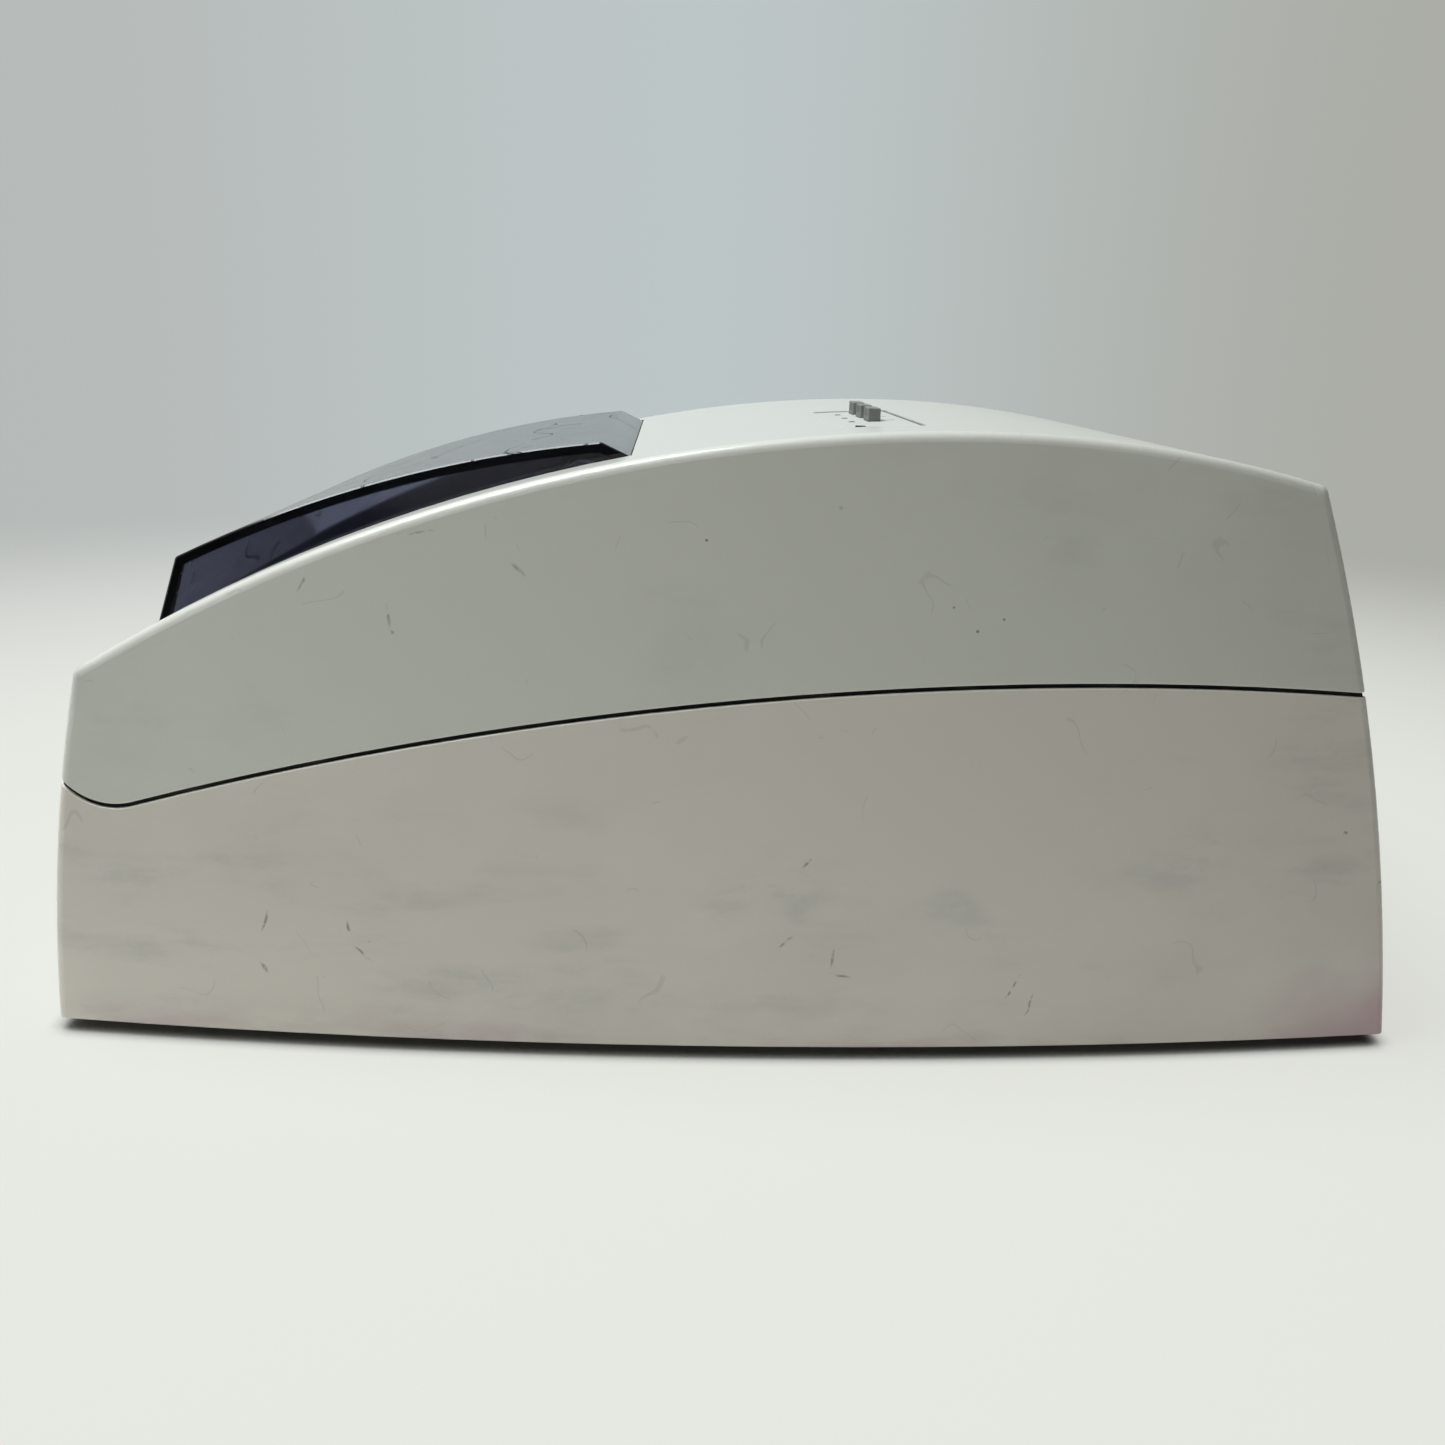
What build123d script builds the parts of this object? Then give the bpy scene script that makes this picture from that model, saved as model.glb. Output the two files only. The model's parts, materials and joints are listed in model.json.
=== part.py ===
from build123d import *
import os
from math import asin, cos, radians, sin, sqrt

os.makedirs("parts", exist_ok=True)

# A low bench thermal cycler. Front is -Y, rear is +Y, +X is the operator's right hand, +Z is up.
# The origin is under the middle of the case, on the surface that the feet stand on. Millimetres.

# ---------------------------------------------------------------- case
foot_height = 4.0           # clearance between the bench and the case
case_depth = 394.0          # front to rear, along the bottom edge
corner_half_width = 105.0   # half width at the four corners, along the bottom edge
side_bulge = 13.0           # how far each side bows out at mid depth
side_lean = 4.0             # inward lean of the sides, degrees
wall = 3.0                  # shell wall
edge_radius = 3.0           # outer edges of the case
crest_y = 64.0              # highest line of the roof
crest_z = foot_height + 174.8
front_roof_radius = 470.0   # roof arc ahead of the crest
rear_roof_radius = 375.0    # roof arc behind the crest
front_setback = 10.0        # the roof meets the front face this far behind the bottom edge
rear_setback = 36.5         # the same at the rear
front_belly = 2.8           # how far the front face bows out of its chord
rear_belly = 5.6            # the same at the rear face

# ---------------------------------------------------------------- seam between the two shells
seam_gap = 1.2
seam_peak_y = 105.0
seam_peak_z = foot_height + 106.3
seam_radius = 950.0
scoop_radius = 20.0         # the seam scoops up to the front face
scoop_length = 25.5         # from the front of the case to where the scoop meets the long arc
seam_edge_radius = 0.5      # outer edges of both shells along the seam
scoop_end_angle = 50.0      # slope of the seam as it leaves the front face
gasket_inset = 1.2          # the black seal strip lies this far inside the outer face

# ---------------------------------------------------------------- floor, base plate, feet, columns
floor_thickness = 3.0
floor_opening_margin = 5.0  # floor opening to the feet
plate_thickness = 1.5
plate_margin = 2.0          # base plate to shell wall
foot_radius = 9.0
foot_side_inset = 21.0      # feet in from the corners
foot_end_inset = 47.0
screw_radius = 2.0
screw_head_radius = 3.8
screw_head_height = 2.2
case_screw_radius = 1.9
case_screw_bite = 14.0      # length of thread in the upper shell's columns
case_screw_recess = 6.0     # how far the heads sit up inside the lower columns
column_radius = 5.0
column_bore = 2.2
front_column_inset = (15.0, 21.0)   # columns in from the corners, across and along
rear_column_inset = (16.0, 31.0)

# ---------------------------------------------------------------- lid
hood_half_width = 87.0
hood_wall = 2.6
hood_front_bottom = (-166.5, foot_height + 114.4)
hood_front_top = (-160.5, foot_height + 132.9)
hood_middle_top = (-97.0, foot_height + 157.3)
hood_rear_top = (-41.5, foot_height + 168.0)
hood_rear_bottom = (-33.4, foot_height + 164.3)
hood_lip = 2.0              # the hood's rim reaches this far below the roof
lid_gap = 1.2               # around the hood, in the roof
hinge_y = -47.0
hinge_z = foot_height + 156.0
hinge_pin_radius = 3.0
hinge_running_gap = 0.05    # radial, pin in arm
hinge_boss_radius = 6.0
hinge_gap = 0.3             # between arm and bracket
arm_thickness = 5.0
arm_side_gap = 7.4          # arm to the hood's side wall, room for the brackets
bracket_thickness = 5.0
swing_gap = 0.6             # hood's rear rim to the roof, over the whole swing
cover_drop = 0.5            # inner cover below the line of the roof
cover_thickness = 2.5
cover_front_y = -158.0
cover_rear_y = -56.0

# ---------------------------------------------------------------- sample block and what is under it
block_y = -104.0            # middle of the block
well_pitch = 9.0
well_columns = 12
well_rows = 8
well_top_radius = 3.2
well_bottom_radius = 1.4
well_depth = 13.5
block_x_size = 127.8
block_y_size = 85.5
block_height = 16.2
base_level = foot_height + floor_thickness + plate_thickness   # top of the base plate
fan_air_gap = 6.5
block_fan_size = 92.0
block_fan_depth = 25.0
fan_blades = 7
fin_height = 30.0
fin_thickness = 1.4
fin_pitch = 7.0
fin_count = 17
sink_base = 8.0
sink_x_size = 152.0
sink_y_size = 112.0
peltier_size = 40.0
peltier_height = 3.8
peltier_pitch = 42.0
post_radius = 4.0
post_gap = 4.0              # heat sink to deck posts, at least
deck_thickness = 3.0
deck_clearance = 0.5
frame_rim = 9.0             # width of the insulating frame around the block
platen_x_size = 120.0
platen_y_size = 80.0
platen_thickness = 6.0
platen_gap = 5.0            # above the bare block, room for tube caps
platen_travel = 2.5
heater_thickness = 1.0
spring_height = 4.5
spring_radius = 4.0
spring_wire = 0.7
backing_thickness = 3.0
housing_wall = 3.0
housing_side_gap = 1.0      # platen edge to housing
housing_above_platen_face = 3.0

# ---------------------------------------------------------------- keys on the roof
key_frame_x0 = -8.0
key_frame_x1 = 78.0
key_frame_y0 = 26.0
key_frame_y1 = 51.0
key_frame_thickness = 0.8
key_frame_step = 0.4        # the film lies this far below the roof
key_first_x = 4.0
key_pitch = 19.5
key_y = 39.6
key_length = 12.0
key_width = 3.6
key_rise = 3.6
key_travel = 1.5
key_clearance = 0.3
key_flange = 1.4
lens_x = 73.0
lens_y = 32.4
lens_radius = 1.5
board_thickness = 1.6

# ---------------------------------------------------------------- rear bay
bay_half_width = 82.0
bay_bottom = 16.0
bay_top = 88.0
bay_rim = 6.0
bay_depth = 21.0            # rear bay, from the bottom edge of the case to the panel
panel_thickness = 1.5
rear_fan_x = -46.0
rear_fan_z = 52.0
rear_fan_size = 60.0
rear_fan_depth = 25.0
guard_wire = 1.2
guard_eye = 6.0             # outer radius of the guard's smallest ring
guard_eyelet = 3.6          # eyelets at its four screws
inlet_x = 56.0
inlet_z = 36.0
inlet_width = 30.0
inlet_height = 34.0
inlet_depth = 24.0
inlet_flange = 2.0
socket_width = 24.6
socket_height = 17.0
socket_depth = 16.0
socket_chamfer = 5.0
drawer_width = 22.0
drawer_height = 7.0
drawer_depth = 16.0
drawer_travel = 12.0
drawer_clearance = 0.3
switch_x = 56.0
switch_z = 70.0
rocker_radius = 7.5
rocker_length = 20.0
rocker_tilt = 7.0           # to each side of the middle
rocker_valley = 4.0         # bottom of the valley between the rocker's two flats, from the pivot
ports_x = 8.0
ports_z = 34.0
panel_screw_radius = 1.4
panel_screw_bite = 5.0

# ---------------------------------------------------------------- electronics
supply_x0 = -88.0
supply_x_size = 84.0
supply_y0 = 0.0
supply_y_size = 140.0
supply_height = 42.0
board_x0 = 2.0
board_x_size = 84.0
board_y0 = -10.0
board_y_size = 150.0
standoff_height = 8.0
standoff_radius = 3.0
driver_lift = 34.0          # power driver board above the main board

# ================================================================ shared geometry

front_top_y = -case_depth / 2 + front_setback
rear_top_y = case_depth / 2 - rear_setback
scoop_join_y = -case_depth / 2 + scoop_length
foot_x = corner_half_width - foot_side_inset
foot_y = case_depth / 2 - foot_end_inset
floor_opening_x = 2 * (foot_x - foot_radius - floor_opening_margin)
floor_opening_y = 2 * (foot_y + foot_radius + 1)
front_column = (corner_half_width - front_column_inset[0], front_column_inset[1] - case_depth / 2)
rear_column = (corner_half_width - rear_column_inset[0], case_depth / 2 - rear_column_inset[1])
column_places = [(side * x, y) for x, y in (front_column, rear_column) for side in (1, -1)]
rear_panel_y = case_depth / 2 - bay_depth


def roof_z(y, depth=0.0):
    """Height of the roof at y, or of the parallel surface that lies depth below it."""
    radius = front_roof_radius if y < crest_y else rear_roof_radius
    return crest_z - radius + sqrt((radius - depth) ** 2 - (y - crest_y) ** 2)


def middle(a, b):
    return (a + b) / 2


def bowed(start, end, belly):
    """Point that stands belly out of the chord from start to end, on its right-hand side."""
    run = (end[0] - start[0], end[1] - start[1])
    length = sqrt(run[0] ** 2 + run[1] ** 2)
    return (
        middle(start[0], end[0]) + belly * run[1] / length,
        middle(start[1], end[1]) - belly * run[0] / length,
    )


def case_form(inset=0.0, floor=0.0):
    """The outer form of the case, or the same form with every face moved in by inset."""
    radius = (case_depth**2 / 4 + side_bulge**2) / (2 * side_bulge)
    reach = case_depth / 2 + 25
    waist = corner_half_width + side_bulge
    end_x = waist - radius + sqrt(radius**2 - reach**2)
    bottom = foot_height + floor
    front_top = (front_top_y, roof_z(front_top_y))
    rear_top = (rear_top_y, roof_z(rear_top_y))
    front_bottom = (-case_depth / 2, foot_height)
    rear_bottom = (case_depth / 2, foot_height)
    front_roof_y = middle(front_top_y, crest_y)
    rear_roof_y = middle(crest_y, rear_top_y)
    with BuildPart() as form:
        with BuildSketch(Plane.XY.offset(foot_height)):
            with BuildLine():
                ThreePointArc((end_x, -reach), (waist, 0), (end_x, reach))
                Line((end_x, reach), (-end_x, reach))
                ThreePointArc((-end_x, reach), (-waist, 0), (-end_x, -reach))
                Line((-end_x, -reach), (end_x, -reach))
            make_face()
            if inset:
                offset(amount=-inset, kind=Kind.INTERSECTION)
        extrude(amount=crest_z, taper=side_lean)
        with BuildSketch(Plane.YZ):
            with BuildLine():
                ThreePointArc(front_top, bowed(front_top, front_bottom, front_belly), front_bottom)
                Line(front_bottom, rear_bottom)
                ThreePointArc(rear_bottom, bowed(rear_bottom, rear_top, rear_belly), rear_top)
                ThreePointArc(rear_top, (rear_roof_y, roof_z(rear_roof_y)), (crest_y, crest_z))
                ThreePointArc((crest_y, crest_z), (front_roof_y, roof_z(front_roof_y)), front_top)
            make_face()
            if inset:
                offset(amount=-inset, kind=Kind.INTERSECTION)
        extrude(amount=2 * waist, both=True, mode=Mode.INTERSECT)
        if inset:
            with BuildSketch(Plane.XY.offset(foot_height)):
                Rectangle(3 * waist, 2 * case_depth)
            extrude(amount=floor, mode=Mode.SUBTRACT)
            if inset > floor:
                extrude(form.faces().sort_by(Axis.Z)[0], amount=inset - floor)
        else:
            crest = form.edges().filter_by(Axis.X).group_by(Axis.Z)[-1]
            outer = form.edges().filter_by(lambda e: e.center().Z > bottom + 1)
            fillet([e for e in outer if e not in crest], radius=edge_radius)
    return form.part


def seam_side(upper, shift):
    """Everything above or below the seam, with the seam moved up by shift."""
    slope = asin((seam_peak_y - scoop_join_y) / seam_radius)
    join_z = seam_peak_z - seam_radius * (1 - cos(slope)) + shift
    scoop_y = scoop_join_y - scoop_radius * sin(slope)
    scoop_z = join_z + scoop_radius * cos(slope)
    end = radians(scoop_end_angle)
    end_y = scoop_y - scoop_radius * sin(end)
    end_z = scoop_z - scoop_radius * cos(end)
    low_y = scoop_y - scoop_radius * sin((end - slope) / 2)
    low_z = scoop_z - scoop_radius * cos((end - slope) / 2)
    out = 40.0
    rear_y = case_depth / 2 + out
    rear_z = seam_peak_z - seam_radius + sqrt(seam_radius**2 - (rear_y - seam_peak_y) ** 2) + shift
    limit = crest_z + out if upper else -out
    with BuildPart() as side:
        with BuildSketch(Plane.YZ):
            with BuildLine():
                Line((end_y - out * cos(end), end_z + out * sin(end)), (end_y, end_z))
                ThreePointArc((end_y, end_z), (low_y, low_z), (scoop_join_y, join_z))
                ThreePointArc((scoop_join_y, join_z), (seam_peak_y, seam_peak_z + shift), (rear_y, rear_z))
                Polyline(
                    (rear_y, rear_z),
                    (rear_y, limit),
                    (end_y - out * cos(end), limit),
                    (end_y - out * cos(end), end_z + out * sin(end)),
                )
            make_face()
        extrude(amount=2 * corner_half_width, both=True)
    return side.part


def seam_z(y):
    """Height of the long arc of the seam at y. Ahead of it, the height where the scoop begins."""
    y = max(y, scoop_join_y)
    return seam_peak_z - seam_radius + sqrt(seam_radius**2 - (y - seam_peak_y) ** 2)


def seam_rim(shell):
    """The outer edges of a shell where it meets the seam."""
    core = case_form(seam_gap, seam_gap)
    rim = []
    for edge in shell.edges():
        centre = edge.center()
        near = seam_peak_z - seam_radius / 30 < centre.Z < seam_peak_z + seam_gap
        if centre.Y > scoop_join_y:
            near = abs(centre.Z - seam_z(centre.Y)) < seam_gap
        if near and abs((edge % 0.5).Z) < 0.9 and not core.is_inside(centre):
            rim.append(edge)
    return rim


def roof_band(y0, y1, depth0, depth1, x0, x1):
    """A slab that follows the roof from y0 to y1, between two depths below it. y0 and y1 are
    on the same side of the crest."""
    y_mid = middle(y0, y1)
    with BuildPart() as band:
        with BuildSketch(Plane.YZ.offset(x0)):
            with BuildLine():
                ThreePointArc(
                    (y0, roof_z(y0, depth0)), (y_mid, roof_z(y_mid, depth0)), (y1, roof_z(y1, depth0))
                )
                Line((y1, roof_z(y1, depth0)), (y1, roof_z(y1, depth1)))
                ThreePointArc(
                    (y1, roof_z(y1, depth1)), (y_mid, roof_z(y_mid, depth1)), (y0, roof_z(y0, depth1))
                )
                Line((y0, roof_z(y0, depth1)), (y0, roof_z(y0, depth0)))
            make_face()
        extrude(amount=x1 - x0)
    return band.part


def under_roof(y0, y1, bottom, depth, half_width):
    """A block from the level bottom up to the surface depth below the roof."""
    y_mid = middle(y0, y1)
    with BuildPart() as block:
        with BuildSketch(Plane.YZ):
            with BuildLine():
                ThreePointArc(
                    (y0, roof_z(y0, depth)), (y_mid, roof_z(y_mid, depth)), (y1, roof_z(y1, depth))
                )
                Polyline((y1, roof_z(y1, depth)), (y1, bottom), (y0, bottom), (y0, roof_z(y0, depth)))
            make_face()
        extrude(amount=half_width, both=True)
    return block.part


def slab(x0, x1, y0, y1, z0, z1):
    """A plain rectangular block between two corners."""
    with BuildPart() as block:
        with BuildSketch(Plane.XY.offset(z0)):
            with Locations((middle(x0, x1), middle(y0, y1))):
                Rectangle(x1 - x0, y1 - y0)
        extrude(amount=z1 - z0)
    return block.part


hinge_line = Plane(origin=(0, hinge_y, hinge_z), x_dir=(0, 1, 0), z_dir=(1, 0, 0))
fan_bottom = base_level + fan_air_gap
fin_bottom = fan_bottom + block_fan_depth
sink_bottom = fin_bottom + fin_height
sink_top = sink_bottom + sink_base
block_bottom = sink_top + peltier_height
block_top = block_bottom + block_height
deck_top = block_top
deck_bottom = deck_top - deck_thickness
platen_bottom = block_top + platen_gap
heater_bottom = platen_bottom + platen_thickness
heater_top = heater_bottom + heater_thickness
backing_bottom = heater_top + spring_height
housing_bottom = platen_bottom + housing_above_platen_face
housing_half_x = platen_x_size / 2 + housing_side_gap + housing_wall
housing_front_y = block_y - platen_y_size / 2 - housing_side_gap - housing_wall
housing_rear_y = block_y + platen_y_size / 2 + housing_side_gap + housing_wall
cover_depth = cover_drop + cover_thickness
cover_half_width = hood_half_width - hood_wall
arm_inner_x = cover_half_width - arm_side_gap - arm_thickness
opening_half_width = hood_half_width + lid_gap
opening_front_y = hood_front_bottom[0] - lid_gap - hood_lip / 2
swing_radius = sqrt((hood_rear_bottom[0] - hinge_y) ** 2 + (hood_rear_bottom[1] - hinge_z) ** 2)
bore_radius = hinge_pin_radius + hinge_running_gap
key_spots = [key_first_x + i * key_pitch for i in range(3)]
key_board_top = roof_z(key_y) - wall - 9.0
board_z = base_level + standoff_height
board_top = board_z + board_thickness
rim_middle = bay_half_width + bay_rim / 2
panel_screw_places = [(x, z) for x in (-rim_middle, rim_middle) for z in (bay_bottom, bay_top)]
panel_screw_plane = Plane(origin=(0, rear_panel_y - panel_thickness, 0), x_dir=(-1, 0, 0), z_dir=(0, 1, 0))

# ================================================================ case

with BuildPart() as columns:
    with BuildSketch(Plane.XY.offset(foot_height + floor_thickness / 2)):
        with Locations(*column_places):
            Circle(column_radius)
    extrude(amount=crest_z)
    add(case_form(wall / 2, floor_thickness / 2), mode=Mode.INTERSECT)

with BuildPart() as bay_frame:
    add(slab(-bay_half_width - bay_rim, bay_half_width + bay_rim, rear_panel_y, case_depth / 2,
             bay_bottom - bay_rim, bay_top + bay_rim))
    add(case_form(wall / 2, floor_thickness / 2), mode=Mode.INTERSECT)

with BuildPart() as lower_shell:
    add(case_form())
    add(case_form(wall, floor_thickness), mode=Mode.SUBTRACT)
    add(columns.part)
    add(bay_frame.part)
    with BuildSketch(Plane.XY.offset(foot_height)):
        Rectangle(floor_opening_x, floor_opening_y)
    extrude(amount=floor_thickness, mode=Mode.SUBTRACT)
    add(slab(-bay_half_width, bay_half_width, rear_panel_y, case_depth / 2 + wall, bay_bottom, bay_top),
        mode=Mode.SUBTRACT)
    with BuildSketch(Plane.XY.offset(foot_height)):
        with Locations(*column_places):
            Circle(column_bore)
        with GridLocations(2 * foot_x, 2 * foot_y, 2, 2):
            Circle(screw_radius)
    extrude(amount=crest_z, mode=Mode.SUBTRACT)
    with BuildSketch(Plane.XY.offset(foot_height)):
        with Locations(*column_places):
            Circle(screw_head_radius + 0.4)
    extrude(amount=floor_thickness + case_screw_recess, mode=Mode.SUBTRACT)
    with BuildSketch(panel_screw_plane):
        with Locations(*panel_screw_places):
            Circle(panel_screw_radius)
    extrude(amount=panel_thickness + panel_screw_bite, mode=Mode.SUBTRACT)
    add(seam_side(False, -seam_gap / 2), mode=Mode.INTERSECT)
    fillet(seam_rim(lower_shell), radius=seam_edge_radius)
lower_shell.part.label = "lower_shell"
export_step(lower_shell.part, "parts/lower_shell.step")

board_post_x = (key_frame_x1 - key_frame_x0) / 2 - 5
board_post_y = (key_frame_y1 - key_frame_y0) / 2 - 4
key_board_x = middle(key_frame_x0, key_frame_x1)
key_board_y = middle(key_frame_y0, key_frame_y1)

with BuildPart() as upper_shell:
    add(case_form())
    add(case_form(wall, floor_thickness), mode=Mode.SUBTRACT)
    add(columns.part)
    with BuildSketch(Plane.XY.offset(key_board_top)):
        with Locations((key_board_x, key_board_y)):
            with GridLocations(2 * board_post_x, 2 * board_post_y, 2, 2):
                Circle(3)
    extrude(amount=roof_z(key_y) - wall / 2 - key_board_top)
    for x, y in column_places:
        with BuildSketch(Plane.XY.offset(foot_height)):
            with Locations((x, y)):
                Circle(case_screw_radius)
        extrude(amount=seam_z(y) + case_screw_bite + 1 - foot_height, mode=Mode.SUBTRACT)
    with BuildSketch(Plane.XY.offset(foot_height + seam_peak_z / 2 + wall)):
        with Locations((0, middle(opening_front_y, hinge_y))):
            Rectangle(2 * opening_half_width, hinge_y - opening_front_y)
    extrude(amount=crest_z, mode=Mode.SUBTRACT)
    with BuildSketch(hinge_line):
        Circle(swing_radius + swing_gap)
    extrude(amount=opening_half_width, both=True, mode=Mode.SUBTRACT)
    add(roof_band(key_frame_y0, key_frame_y1, -wall, key_frame_step + key_frame_thickness, key_frame_x0,
                  key_frame_x1), mode=Mode.SUBTRACT)
    with BuildSketch(Plane.XY.offset(key_board_top)):
        with Locations(*[(x, key_y) for x in key_spots]):
            Rectangle(key_length + 2 * key_clearance, key_width + 2 * key_clearance)
        with Locations((lens_x, lens_y)):
            Circle(lens_radius)
    extrude(amount=crest_z, mode=Mode.SUBTRACT)
    add(seam_side(True, seam_gap / 2), mode=Mode.INTERSECT)
    fillet(seam_rim(upper_shell), radius=seam_edge_radius)
upper_shell.part.label = "upper_shell"
export_step(upper_shell.part, "parts/upper_shell.step")

with BuildPart() as seam_gasket:
    add(case_form(gasket_inset, floor_thickness))
    add(case_form(wall, floor_thickness), mode=Mode.SUBTRACT)
    add(seam_side(False, seam_gap / 2), mode=Mode.INTERSECT)
    add(seam_side(True, -seam_gap / 2), mode=Mode.INTERSECT)
seam_gasket.part.label = "seam_gasket"
export_step(seam_gasket.part, "parts/seam_gasket.step")

plate_x = 2 * (corner_half_width - wall - plate_margin)
plate_y = case_depth - 2 * (wall + 2 * plate_margin)
vent_length = block_fan_size - 20

with BuildPart() as base_plate:
    with BuildSketch(Plane.XY.offset(foot_height + floor_thickness)):
        RectangleRounded(plate_x, plate_y, 4)
        with Locations(*column_places):
            Circle(column_radius + 0.5, mode=Mode.SUBTRACT)
        with GridLocations(2 * foot_x, 2 * foot_y, 2, 2):
            Circle(screw_radius, mode=Mode.SUBTRACT)
        with Locations((0, block_y)):
            with GridLocations(8, 0, 10, 1):
                SlotOverall(vent_length, 4, rotation=90, mode=Mode.SUBTRACT)
    extrude(amount=plate_thickness)
base_plate.part.label = "base_plate"
export_step(base_plate.part, "parts/base_plate.step")

with BuildPart() as rubber_feet:
    with BuildSketch():
        with GridLocations(2 * foot_x, 2 * foot_y, 2, 2):
            Circle(foot_radius)
    extrude(amount=foot_height)
    chamfer(rubber_feet.edges().group_by(Axis.Z)[0], length=0.8)
    with BuildSketch():
        with GridLocations(2 * foot_x, 2 * foot_y, 2, 2):
            Circle(screw_radius)
    extrude(amount=foot_height, mode=Mode.SUBTRACT)
    with BuildSketch():
        with GridLocations(2 * foot_x, 2 * foot_y, 2, 2):
            Circle(screw_head_radius + 0.4)
    extrude(amount=screw_head_height + 0.6, mode=Mode.SUBTRACT)
rubber_feet.part.label = "rubber_feet"
export_step(rubber_feet.part, "parts/rubber_feet.step")


def screws(plane, places, shank_radius, shank, head_radius, head):
    """Socket screws whose heads sit on the plane and whose shanks go along its normal."""
    with BuildPart() as group:
        with BuildSketch(plane.offset(-head)):
            with Locations(*places):
                Circle(head_radius)
        extrude(amount=head)
        with BuildSketch(plane):
            with Locations(*places):
                Circle(shank_radius)
        extrude(amount=shank)
        with BuildSketch(plane.offset(-head)):
            with Locations(*places):
                RegularPolygon(head_radius * 0.45, 6)
        extrude(amount=head * 0.6, mode=Mode.SUBTRACT)
    return group.part


foot_places = [(x, y) for x in (-foot_x, foot_x) for y in (-foot_y, foot_y)]
with BuildPart() as foot_screws:
    add(screws(Plane.XY.offset(screw_head_height + 0.6), foot_places, screw_radius,
               foot_height + floor_thickness + plate_thickness, screw_head_radius, screw_head_height))
foot_screws.part.label = "foot_screws"
export_step(foot_screws.part, "parts/foot_screws.step")

case_screw_seat = foot_height + floor_thickness + case_screw_recess
with BuildPart() as case_screws:
    for x, y in column_places:
        add(screws(Plane.XY.offset(case_screw_seat), [(x, y)], case_screw_radius,
                   seam_z(y) + case_screw_bite - case_screw_seat, screw_head_radius, screw_head_height))
case_screws.part.label = "case_screws"
export_step(case_screws.part, "parts/case_screws.step")

# ================================================================ lid


def hood_form(inset, skirt):
    """The hood as a solid block. Its rim lies skirt below the line of the roof."""
    lean = (hood_front_top[0] - hood_front_bottom[0]) / (hood_front_top[1] - hood_front_bottom[1])
    front_rim_y = hood_front_bottom[0] - lean * skirt
    rear_rim_y = hood_rear_bottom[0]
    y_mid = middle(front_rim_y, rear_rim_y)
    front_rim = (front_rim_y, roof_z(front_rim_y, skirt))
    rear_rim = (rear_rim_y, roof_z(rear_rim_y, skirt))
    with BuildPart() as form:
        with BuildSketch(Plane.YZ):
            with BuildLine():
                Line(front_rim, hood_front_top)
                ThreePointArc(hood_front_top, hood_middle_top, hood_rear_top)
                Polyline(hood_rear_top, hood_rear_bottom, rear_rim)
                ThreePointArc(rear_rim, (y_mid, roof_z(y_mid, skirt)), front_rim)
            make_face()
            if inset:
                offset(amount=-inset, kind=Kind.INTERSECTION)
        extrude(amount=hood_half_width - inset, both=True)
    return form.part


with BuildPart() as lid_hood:
    add(hood_form(0, hood_lip))
    crown = lid_hood.edges().filter_by(lambda e: e.center().Z > roof_z(e.center().Y, -hood_lip / 2))
    chamfer(crown, length=0.4)
    add(hood_form(hood_wall, hood_lip + 3 * hood_wall), mode=Mode.SUBTRACT)
lid_hood.part.label = "lid_hood"
export_step(lid_hood.part, "parts/lid_hood.step")

housing_half_inner = housing_half_x - housing_wall
bolt_x = housing_half_inner - 6
bolt_front_y = housing_front_y + 9
bolt_rear_y = housing_rear_y - 9

with BuildPart() as lid_inner_cover:
    add(roof_band(cover_front_y, cover_rear_y, cover_drop, cover_depth, -cover_half_width, cover_half_width))
    add(roof_band(housing_front_y + 6, housing_rear_y - 6, 0, cover_drop + 0.8, -0.5, 0.5), mode=Mode.SUBTRACT)
    for x in (-housing_half_x, housing_half_x):
        add(roof_band(housing_front_y, housing_rear_y, 0, cover_drop + 0.8, x - 0.5, x + 0.5),
            mode=Mode.SUBTRACT)
lid_inner_cover.part.label = "lid_inner_cover"
export_step(lid_inner_cover.part, "parts/lid_inner_cover.step")

with BuildPart() as platen_housing:
    add(under_roof(housing_front_y, housing_rear_y, housing_bottom, cover_depth, housing_half_x))
    add(under_roof(housing_front_y + housing_wall, housing_rear_y - housing_wall, housing_bottom - 1,
                   cover_depth + housing_wall, housing_half_inner), mode=Mode.SUBTRACT)
platen_housing.part.label = "platen_housing"
export_step(platen_housing.part, "parts/platen_housing.step")

pin_x = platen_x_size / 2 - 8
pin_y = platen_y_size / 2 - 8
spring_x = pin_x - 14
pin_radius = 2.0
pin_gap = 0.05

with BuildPart() as platen_backing:
    add(slab(-housing_half_inner, housing_half_inner, housing_front_y + housing_wall,
             housing_rear_y - housing_wall, backing_bottom, backing_bottom + backing_thickness))
    with BuildSketch(Plane.XY.offset(backing_bottom)):
        with Locations((0, block_y)):
            with GridLocations(2 * pin_x, 2 * pin_y, 2, 2):
                Circle(pin_radius + pin_gap)
            Rectangle(70, 40)
    extrude(amount=backing_thickness, mode=Mode.SUBTRACT)
platen_backing.part.label = "platen_backing"
export_step(platen_backing.part, "parts/platen_backing.step")

with BuildPart() as heated_platen:
    with BuildSketch(Plane.XY.offset(platen_bottom)):
        with Locations((0, block_y)):
            RectangleRounded(platen_x_size, platen_y_size, 5)
    extrude(amount=platen_thickness)
    chamfer(heated_platen.edges().group_by(Axis.Z)[0], length=1)
    with BuildSketch(Plane.XY.offset(platen_bottom)):
        with Locations((0, block_y)):
            with GridLocations(well_pitch, well_pitch, well_columns, well_rows):
                Circle(2.6)
    extrude(amount=0.6, mode=Mode.SUBTRACT)
heated_platen.part.label = "heated_platen"
export_step(heated_platen.part, "parts/heated_platen.step")

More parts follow.
